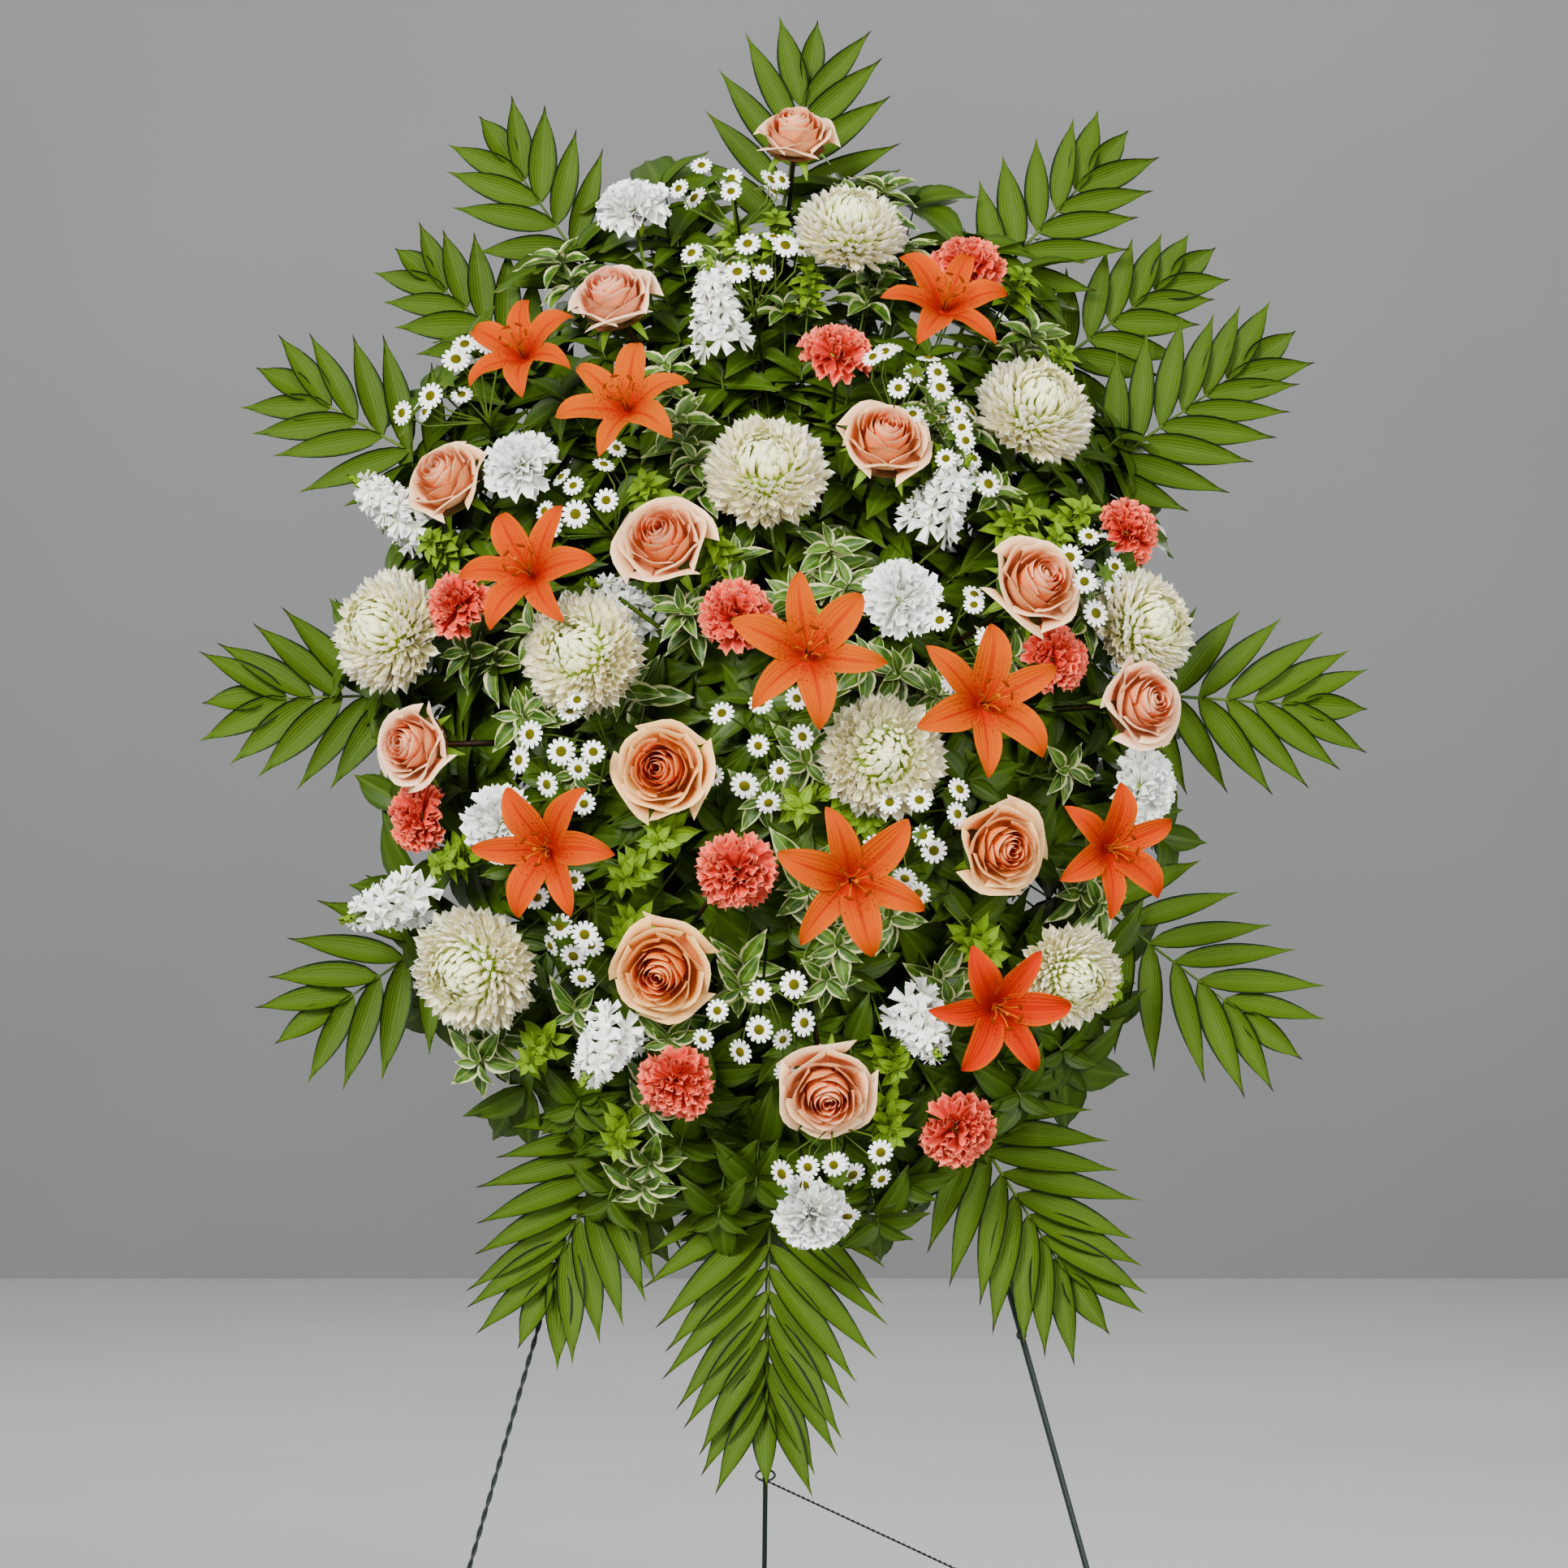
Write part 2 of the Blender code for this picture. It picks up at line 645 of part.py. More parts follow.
LILY_PETALS = 6
LILY_THROAT_BACK = 0.20
LILY_THROAT_RADIUS = 0.18
LILY_BASE_SEGMENTS = 5
LILY_BASE_RINGS = 3
LILY_THICKNESS = 0.0016
LILY_TOP = 0.02
LILY_BOTTOM = -0.30
# For the middle, side, notch and other side of a petal: reach, height and turn at half way and at the rim
LILY_HALF = [(1.00, 0.40, 0.0), (0.92, 0.33, 0.10), (0.34, 0.14, 0.0), (0.92, 0.33, -0.10)]
LILY_RIM = [(1.75, 0.26, 0.0), (1.36, 0.34, -0.09), (0.37, 0.15, 0.0), (1.36, 0.34, 0.09)]


def star(name, points, rows, top, bottom, size):
    """A ball whose rings take the places of a star's points, sides and notches."""
    bm = bmesh.new()
    segments = points * len(rows[0])
    steps = len(rows) + 1
    bmesh.ops.create_uvsphere(bm, u_segments=segments, v_segments=steps, radius=1.0)
    for vert in bm.verts:
        row = round(math.acos(max(-1.0, min(1.0, vert.co.z))) / (math.pi / steps))
        angle = math.atan2(vert.co.y, vert.co.x)
        if row == 0 or row == steps:
            vert.co = Vector((0, 0, top if row == 0 else bottom))
            continue
        column = round(angle / (math.tau / segments)) % len(rows[0])
        reach, height, turn = rows[row - 1][column]
        vert.co = Vector((reach * math.cos(angle + turn), reach * math.sin(angle + turn), height))
    bmesh.ops.scale(bm, verts=bm.verts, vec=(size, size, size))
    return from_bmesh(name, bm)


def lily_head(name, size):
    """Six petals joined at the throat, and the round base that the stem ends in."""
    under = [(reach, height - LILY_THICKNESS / size, turn) for reach, height, turn in LILY_HALF]
    petals = star(name + "_petals", LILY_PETALS, [LILY_HALF, LILY_RIM, under], LILY_TOP, LILY_BOTTOM, size)
    middle = Vector((0, 0, -LILY_THROAT_BACK * size))
    base = ball(name + "_base", middle, LILY_THROAT_RADIUS * size, LILY_BASE_SEGMENTS, LILY_BASE_RINGS)
    return [petals, base]


STOCK_ROWS = 6
STOCK_TIP = 2.5


def stock_head(name, size):
    """A spike of florets along +Z."""
    rings = []
    for k in range(STOCK_ROWS):
        along = 1 - (k + 0.5) / STOCK_ROWS
        rings.append((0.98 - 0.55 * along, 3.2 * along - 0.8))

    def relief(row, angle):
        if row < 0:
            return 1.0, STOCK_TIP
        wave = math.cos(4 * angle + row * math.pi)
        return 1 + 0.26 * wave, 0.22 * wave
    obj = ringed(name, 8, rings, relief)
    obj.data.transform(Matrix.Scale(size, 4))
    return obj


DAISY_RAYS = 6
DAISY_CENTRE = 0.22
DAISY_BACK = -0.08


def daisy_head(name, size):
    def relief(row, angle):
        return (1.0, DAISY_CENTRE) if row < 0 else (1 + 0.34 * math.cos(DAISY_RAYS * angle), 0.0)
    obj = ringed(name, DAISY_RAYS * 2, [(0.50, DAISY_BACK)], relief)
    obj.data.transform(Matrix.Scale(size, 4))
    return obj


LEAVES_IN_WHORL = 5
WHORL_RIM = [(1.55, 0.75, 0.0), (0.95, 0.50, 0.06), (0.30, 0.10, 0.0), (0.95, 0.50, -0.06)]


def leaf_whorl(name, size):
    """Oval leaves round the end of a twig, thickest at their middle rib."""
    return [star(name + "_leaves", LEAVES_IN_WHORL, [WHORL_RIM], 0.14, -0.14, size)]


def head_pieces(name, kind, size):
    if kind == "rose":
        return [rose_head(name, size)]
    if kind == "mum":
        return [mum_head(name, size)]
    if kind == "lily":
        return lily_head(name, size)
    if kind == "stock":
        return [stock_head(name, size)]
    if kind == "daisy":
        return [daisy_head(name, size)]
    if kind == "greens":
        return leaf_whorl(name, size)
    return [carnation_head(name, size)]


def head_turn(place, kind, roll):
    way = head_way(place, HEADS[kind]["facing"])
    return Matrix.Translation(place) @ facing_turn(way, roll)


def head_balls(place, kind, size, roll):
    """Balls that fill a head, for the stems that pass it."""
    radius = HEADS[kind]["radius"] * size
    turn = head_turn(place, kind, roll)
    if kind == "lily":
        found = [(place, radius * 0.35)]
        for k in range(LILY_PETALS):
            for out, high in ((0.6, 0.2), (1.1, 0.28), (1.55, 0.15)):
                angle = k * math.tau / LILY_PETALS
                seat = Vector((math.cos(angle) * out, math.sin(angle) * out, high)) * radius
                found.append((turn @ seat, radius * 0.28))
        return found
    if kind == "stock":
        return [(turn @ Vector((0, 0, radius * high)), radius * 0.95) for high in (-0.2, 0.7, 1.6)]
    return [(place, radius * 1.04)]


def make_flowers():
    """Every flower, alone or with others on a branched stem that bends round its neighbours."""
    places = settle()
    groups = {}
    for index, (name, kind, x, z, size, ahead) in enumerate(FLOWERS):
        groups.setdefault(name, []).append(index)
        for place, radius in head_balls(places[index], kind, size, index * ROLL_STEP):
            BALLS.append((index, place, radius))
    for name, members in groups.items():
        kind = FLOWERS[members[0]][1]
        radius = HEADS[kind]["stem"]
        resolution = 0
        middle = sum(((places[m] - BLOOM_ROOT).normalized() for m in members), Vector()).normalized()
        way = trunk_way(middle, radius + HOLE_GAP, members)
        fork = trunk_path(BLOOM_ROOT, way)[1]
        pieces = []
        ways = []
        for m in members:
            path = route(fork, places[m], radius, members)
            if kind == "lily":
                back = HEADS[kind]["radius"] * FLOWERS[m][4] * LILY_THROAT_RADIUS
                path[-1] = path[-1] - (path[-1] - path[-2]).normalized() * back
            ways.append((path, radius * 0.9))
            pieces.append(wire(f"{name}_branch_{m}", path, radius * 0.9, resolution))
        pieces.insert(0, stem(name + "_stem", BLOOM_ROOT, way, fork + way * radius * 0.8, radius, resolution))
        take(trunk_path(BLOOM_ROOT, way), radius)
        for path, thick in ways:
            take(path, thick)
        for m in members:
            size = HEADS[kind]["radius"] * FLOWERS[m][4]
            turn = head_turn(places[m], kind, m * ROLL_STEP)
            for piece in head_pieces(f"{name}_head_{m}", kind, size):
                piece.data.transform(turn)
                pieces.append(piece)
        node(name, pieces, kind)


# Palm fronds

FROND_ARCH = 0.010
ARCH_SPAN = 0.8
RIB_HALF_WIDTH = 0.0022
RIB_TAPER = 0.55
LEAFLET_LEAST = 0.62
LEAFLET_SWELL = 0.38
SWELL_START = 0.18
SWELL_SPAN = 0.75
LEAFLET_LEAN = 66
LEAFLET_LEAN_CHANGE = 44
SHOULDER_OUT = 0.45
SHOULDER_BACK = 0.42
CROWN_LENGTH = 0.55


def frond_sheet(name, start, tip, depth, pairs, length):
    """A rib with leaflets down both sides, as one thin arched blade."""
    bm = bmesh.new()
    rib = Vector((tip[0] - start[0], tip[1] - start[1]))
    across = Vector((rib.y, -rib.x)).normalized()
    along = rib.normalized()

    def lift(place, out):
        share = out / length
        arch = FROND_ARCH * math.sin(share * math.pi * ARCH_SPAN)
        return spot(place.x, place.y, depth + arch)

    def rib_at(k, side):
        share = k / pairs
        middle = Vector(start) + rib * share
        half = RIB_HALF_WIDTH * (1 - RIB_TAPER * share)
        return middle + across * half * side

    rows = [[bm.verts.new(lift(rib_at(k, side), 0)) for side in (-1, 1)] for k in range(pairs + 1)]
    for k in range(pairs):
        bm.faces.new((rows[k][0], rows[k][1], rows[k + 1][1], rows[k + 1][0]))
        share = k / pairs
        swell = math.sin(math.pi * (SWELL_START + SWELL_SPAN * share))
        reach = length * (LEAFLET_LEAST + LEAFLET_SWELL * swell)
        lean = math.radians(LEAFLET_LEAN - LEAFLET_LEAN_CHANGE * share)
        for column, side in ((0, -1), (1, 1)):
            way = along * math.cos(lean) + across * side * math.sin(lean)
            base = rib_at(k, side)
            upper = rib_at(k + 1, side)
            drop = (upper - base).normalized() * LEAFLET_WIDTH * SHOULDER_BACK
            shoulder = base + way * reach * SHOULDER_OUT - drop
            end = base + way * reach
            low = bm.verts.new(lift(shoulder, reach * SHOULDER_OUT))
            peak = bm.verts.new(lift(end, reach))
            corners = [rows[k][column], low, peak, rows[k + 1][column]]
            first = (corners[0], corners[1], corners[2])
            second = (corners[0], corners[2], corners[3])
            bm.faces.new(first if side > 0 else tuple(reversed(first)))
            bm.faces.new(second if side > 0 else tuple(reversed(second)))
    last = Vector(start) + rib + along * length * CROWN_LENGTH
    crown = bm.verts.new(lift(last, length * 0.5))
    bm.faces.new((rows[-1][0], rows[-1][1], crown))
    bmesh.ops.triangulate(bm, faces=bm.faces[:])
    bmesh.ops.recalc_face_normals(bm, faces=bm.faces)
    obj = from_bmesh(name, bm)
    shell = obj.modifiers.new("thickness", "SOLIDIFY")
    shell.thickness = FROND_THICKNESS
    shell.offset = 0.0
    applied(obj)
    weld(obj.data)
    return obj


def make_fronds():
    for name, (start, tip, depth, pairs, length) in FRONDS.items():
        sheet = frond_sheet(name, start, tip, depth, pairs, length)
        seat = spot(start[0], start[1], depth)
        way = (seat - FROND_ROOT).normalized()
        stalk = stem(name + "_stalk", FROND_ROOT, way, seat + way * 0.003, FROND_STEM)
        take([trunk_path(FROND_ROOT, way)[0], seat], FROND_STEM)
        node(name, [stalk, sheet], "frond")


# The holder

def box_piece(name, size, centre):
    """A box in the holder's own frame: across, inward and along."""
    bm = bmesh.new()
    bmesh.ops.create_cube(bm, size=1.0)
    bmesh.ops.scale(bm, verts=bm.verts, vec=Vector(size))
    bmesh.ops.translate(bm, verts=bm.verts, vec=Vector(centre))
    return from_bmesh(name, bm)


def lean(obj):
    """Leans a finished piece of the holder back as the easel leans."""
    obj.data.transform(Matrix.Translation(FOAM_CENTRE) @ Matrix.Rotation(-LEAN, 4, "X"))


def make_foam():
    block = box_piece("foam_block", (FOAM_WIDTH, FOAM_DEPTH, FOAM_LENGTH), (0, 0, 0))
    lean(block)
    cutters = []
    for k, (start, end, radius, resolution) in enumerate(HOLES):
        cutters.append(wire(f"hole_{k}", [start, end], radius, resolution))
    block = combine("foam_block", [block] + cutters, "DIFFERENCE", "MANIFOLD")
    finish_mesh(block.data, "foam")


def make_tray():
    back = FOAM_DEPTH / 2 + REST_GAP + TRAY_WALL / 2
    half_x = FOAM_WIDTH / 2 + REST_GAP + TRAY_WALL / 2
    half_z = FOAM_LENGTH / 2 + REST_GAP + TRAY_WALL / 2
    rim_y = back + TRAY_WALL / 2 - TRAY_RIM / 2
    pieces = [box_piece("tray", (2 * half_x + TRAY_WALL, TRAY_WALL, 2 * half_z + TRAY_WALL), (0, back, 0))]
    for side in (-1, 1):
        pieces.append(box_piece(
            f"tray_side_{side}", (TRAY_WALL, TRAY_RIM, 2 * half_z + TRAY_WALL), (side * half_x, rim_y, 0)))
        pieces.append(box_piece(
            f"tray_end_{side}", (2 * half_x + TRAY_WALL, TRAY_RIM, TRAY_WALL), (0, rim_y, side * half_z)))
    cross = cross_wire_place("cross_wire_upper")
    wire_y = -(cross - FOAM_CENTRE).dot(OUTWARD)
    wire_z = (cross - FOAM_CENTRE).dot(ALONG)
    over = CROSS_WIRE + REST_GAP + TRAY_WALL / 2
    rear = wire_y + over
    for side in (-1, 1):
        x = side * HOOK_SPACING / 2
        middle = (back + rear) / 2
        top = wire_z + over
        pieces.append(box_piece(
            f"hook_top_{side}", (HOOK_WIDTH, rear - back + TRAY_WALL, TRAY_WALL), (x, middle, top)))
        pieces.append(box_piece(
            f"hook_back_{side}", (HOOK_WIDTH, TRAY_WALL, HOOK_DROP),
            (x, rear, top - (HOOK_DROP - TRAY_WALL) / 2)))
    lean(node("foam_tray", pieces, "tray"))


# The easel

def leg_x(foot_x, top_x, z):
    return top_x + (foot_x - top_x) * (1 - z / APEX_HEIGHT)


def front_place(foot_x, top_x, z):
    return Vector((leg_x(foot_x, top_x, z), plane_y(z), z))


def cut_foot(obj):
    """The wire is cut off level with the floor."""
    bm = bmesh.new()
    bm.from_mesh(obj.data)
    cut = bmesh.ops.bisect_plane(
        bm, geom=bm.verts[:] + bm.edges[:] + bm.faces[:], plane_co=(0, 0, 0), plane_no=(0, 0, -1),
        clear_outer=True,
    )
    rim = [item for item in cut["geom_cut"] if isinstance(item, bmesh.types.BMEdge)]
    bmesh.ops.edgeloop_fill(bm, edges=rim)
    bmesh.ops.recalc_face_normals(bm, faces=bm.faces)
    bm.to_mesh(obj.data)
    bm.free()


def leg_wire(name, points, radius):
    foot = points[-1]
    beyond = foot + (foot - points[-2]).normalized() * 0.01
    obj = wire(name, points[:-1] + [beyond], radius, 2)
    cut_foot(obj)
    return obj


PIN = Vector((0, 0, APEX_HEIGHT))
EYE_MAJOR_LEFT = RIGHT_WIRE + RUNNING_GAP + LEFT_WIRE
EYE_MAJOR_REAR = RIGHT_WIRE + RUNNING_GAP + REAR_WIRE


def make_right_leg():
    foot = Vector((RIGHT_FOOT_X, -FRONT_RUN, 0))
    pin_end = PIN + Vector((PIN_END_X, 0, 0))
    bend = PIN + Vector((PIN_BEND_X, 0, 0))
    turn = []
    down = (foot - bend).normalized()
    for k in range(5):
        share = k / 4
        turn.append(bend + Vector((0.010, 0, 0)) * (1 - (1 - share) ** 2) + down * 0.014 * share ** 2)
    leg = leg_wire("front_leg_right", [pin_end] + turn + [foot], RIGHT_WIRE)
    head = ball("pin_head", pin_end, RIGHT_WIRE * 1.5)
    bead_place = front_place(RIGHT_FOOT_X, PIN_BEND_X + 0.01, BEAD_HEIGHT)
    bead = ball("bead", bead_place, BEAD_RADIUS)
    return node("front_leg_right", [leg, head, bead], "wire", "EXACT")


def make_left_leg():
    foot = Vector((LEFT_FOOT_X, -FRONT_RUN, 0))
    eye_centre = PIN + Vector((LEFT_EYE_X, 0, 0))
    down = (foot - eye_centre).normalized()
    leg = leg_wire("front_leg_left", [eye_centre + down * EYE_MAJOR_LEFT, foot], LEFT_WIRE)
    eye = ring("left_eye", eye_centre, (1, 0, 0), EYE_MAJOR_LEFT, LEFT_WIRE)
    return node("front_leg_left", [leg, eye], "wire", "EXACT")


def rear_place(z):
    share = 1 - z / APEX_HEIGHT
    return Vector((REAR_EYE_X + (REAR_FOOT_X - REAR_EYE_X) * share, REAR_RUN * share, z))


def make_rear_leg():
    foot = Vector((REAR_FOOT_X, REAR_RUN, 0))
    eye_centre = PIN + Vector((REAR_EYE_X, 0, 0))
    down = (foot - eye_centre).normalized()
    leg = leg_wire("rear_leg", [eye_centre + down * EYE_MAJOR_REAR, foot], REAR_WIRE)
    eye = ring("rear_eye", eye_centre, (1, 0, 0), EYE_MAJOR_REAR, REAR_WIRE)
    return node("rear_leg", [leg, eye], "wire", "EXACT")


def cross_wire_place(name):
    z = CROSS_HEIGHTS[name]
    return spot(0, z, CROSS_DEPTH)


def make_cross_wires():
    """Each cross wire lies in front of the legs and is curled round them at its ends."""
    for name in CROSS_HEIGHTS:
        middle = cross_wire_place(name)
        left = front_place(LEFT_FOOT_X, LEFT_EYE_X, middle.z)
        right = front_place(RIGHT_FOOT_X, PIN_BEND_X + 0.01, middle.z)
        ends = [Vector((place.x, middle.y, middle.z)) for place in (left, right)]
        pieces = [wire(name, ends, CROSS_WIRE, 1)]
        for side, place, top_x, foot_x in (
            ("left", left, LEFT_EYE_X, LEFT_FOOT_X), ("right", right, PIN_BEND_X + 0.01, RIGHT_FOOT_X),
        ):
            way = front_place(foot_x, top_x, 0) - front_place(foot_x, top_x, APEX_HEIGHT)
            curl = RIGHT_WIRE + REST_GAP + CROSS_WIRE
            pieces.append(ring(f"{name}_{side}", place, way, curl, CROSS_WIRE, 10, 4))
        node(name, pieces, "wire", "EXACT")


RING_AXIS = Vector((0, -0.5, 0.87))
RING_LOW = Vector((0, -0.87, -0.5))
STAY_EYE_AXIS = Vector((0.87, 0.5, 0))


def ring_centre():
    """The ring hangs on the rear leg with its upper edge against the wire."""
    return rear_place(RING_HEIGHT) + Vector((0, -(RING_RADIUS - REAR_WIRE - RING_WIRE - REST_GAP * 2), 0))


def stay_pivot():
    return ring_centre() + RING_LOW * RING_RADIUS


def make_stay():
    centre = ring_centre()
    hanging = ring("stay_ring", centre, RING_AXIS, RING_RADIUS, RING_WIRE, 16, 5)
    finish_mesh(hanging.data, "wire")
    front = stay_pivot()
    end = front_place(RIGHT_FOOT_X, PIN_BEND_X + 0.01, STAY_END_HEIGHT)
    end += Vector((-(RIGHT_WIRE + STAY_WIRE + REST_GAP + 0.0005), 0, 0))
    way = (end - front).normalized()
    eye_major = (RING_WIRE + STAY_WIRE + RUNNING_GAP) / math.cos(math.pi / 10) ** 2
    eye = ring("stay_eye", front, STAY_EYE_AXIS, eye_major, STAY_WIRE, 10, 5)
    line = wire("stay_wire", [front + way * eye_major, end], STAY_WIRE, 1)
    node("stay_wire", [line, eye], "wire", "EXACT")


def add_hinges(shift):
    """An empty on each hinge's axis carries the pieces that turn about it."""
    fold = hinge("rear_leg_hinge", PIN + Vector((REAR_EYE_X, 0, 0)) + shift, ["rear_leg", "stay_ring"])
    swing = hinge("stay_hinge", stay_pivot() + shift, ["stay_wire"])
    carry(fold, swing)


def hinge(name, place, carried):
    empty = bpy.data.objects.new(name, None)
    empty.location = place
    model.objects.link(empty)
    bpy.context.view_layer.update()
    for node_name in carried:
        carry(empty, bpy.data.objects[node_name])
    return empty


def carry(parent, child):
    child.parent = parent
    child.matrix_parent_inverse = parent.matrix_world.inverted()


def stand_on_origin():
    """The middle of the whole object's footprint box becomes the origin."""
    bpy.context.view_layer.update()
    corners = [v.co for obj in model.objects for v in obj.data.vertices]
    middle_x = (min(c.x for c in corners) + max(c.x for c in corners)) / 2
    middle_y = (min(c.y for c in corners) + max(c.y for c in corners)) / 2
    shift = Vector((-middle_x, -middle_y, 0))
    for obj in model.objects:
        obj.data.transform(Matrix.Translation(shift))
    return shift


clear_scene()
model = make_collections()
make_right_leg()
make_left_leg()
make_rear_leg()
make_cross_wires()
make_stay()
make_fronds()
make_flowers()
make_tray()
make_foam()
add_hinges(stand_on_origin())
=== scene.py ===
"""The flowers, fronds, leaves and easel of a standing funeral spray, as they look."""
import math
from collections import namedtuple

import bmesh
import bpy
import numpy as np
from mathutils import Matrix, Vector


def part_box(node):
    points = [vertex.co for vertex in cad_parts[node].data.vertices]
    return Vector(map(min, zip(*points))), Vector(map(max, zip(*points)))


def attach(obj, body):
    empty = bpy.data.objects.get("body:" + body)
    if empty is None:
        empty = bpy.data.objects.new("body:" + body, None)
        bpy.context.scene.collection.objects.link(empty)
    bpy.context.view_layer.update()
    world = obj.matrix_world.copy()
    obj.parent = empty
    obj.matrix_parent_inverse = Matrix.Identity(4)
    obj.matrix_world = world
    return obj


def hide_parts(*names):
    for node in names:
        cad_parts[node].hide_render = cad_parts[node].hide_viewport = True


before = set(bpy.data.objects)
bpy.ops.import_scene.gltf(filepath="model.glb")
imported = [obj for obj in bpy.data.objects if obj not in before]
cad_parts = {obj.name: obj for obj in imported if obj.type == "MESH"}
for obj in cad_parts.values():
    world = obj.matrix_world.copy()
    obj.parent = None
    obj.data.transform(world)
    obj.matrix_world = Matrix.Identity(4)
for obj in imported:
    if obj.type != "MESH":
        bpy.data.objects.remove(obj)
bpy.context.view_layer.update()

# Easel and foam, in metres, as the solids have them
APEX_HEIGHT = 1.29
FRONT_RUN = 0.3
LEFT_FOOT_X = -0.384
LEFT_EYE_X = -0.018
FOOT_HEIGHT = 0.0012
EYE_RADIUS = 0.0052
LEFT_WIRE = 0.0022
LEFT_PITCH = 0.03
STAY_WIRE = 0.0012
STAY_EYE = 0.0032
STAY_PITCH = 0.016
STAY_PIVOT_BACK = 0.0035
FOAM_SIZE = (0.11, 0.08, 0.23)
FROND_ROOT_OUT = 0.002
BLOOM_ROOT_OUT = 0.004
STEM_SINK = 0.02

# The dome of flowers
DOME_X = -0.01
DOME_Z = 1.15
DOME_HALF_WIDTH = 0.36
DOME_HALF_HEIGHT = 0.52
DOME_RIM_DEPTH = 0.115
DOME_RISE = 0.15
HEAD_GAP = 0.003
SETTLE_ROUNDS = 400
SETTLE_SHARE = 0.35
SETTLED = 0.0002
ROLL_STEP = 0.7
NEAREST_DEPTH = 0.105
FURTHEST_DEPTH = 0.345

# Each kind: radius, place before the dome, how far it faces out, where its solid's head is cut off, slot
Head = namedtuple("Head", "radius forward facing back reach slot")
HEADS = {
    "rose": Head(0.04, 0.0, 0.9, 0.4, 1.25, "rose_petal"),
    "mum": Head(0.047, 0.0, 0.7, 0.7, 1.25, "mum_petal"),
    "lily": Head(0.035, 0.05, 1.4, 0.42, 2.1, "lily_petal"),
    "carnation": Head(0.031, 0.0, 0.8, 0.5, 1.25, "coral_petal"),
    "white_carnation": Head(0.031, 0.0, 0.8, 0.5, 1.25, "white_petal"),
    "stock": Head(0.022, -0.01, 0.5, 0.75, 3.0, "white_petal"),
    "daisy": Head(0.018, 0.01, 1.0, 0.05, 1.6, "white_petal"),
    "greens": Head(0.019, -0.04, 0.8, 0.12, 1.9, "leaf"),
}

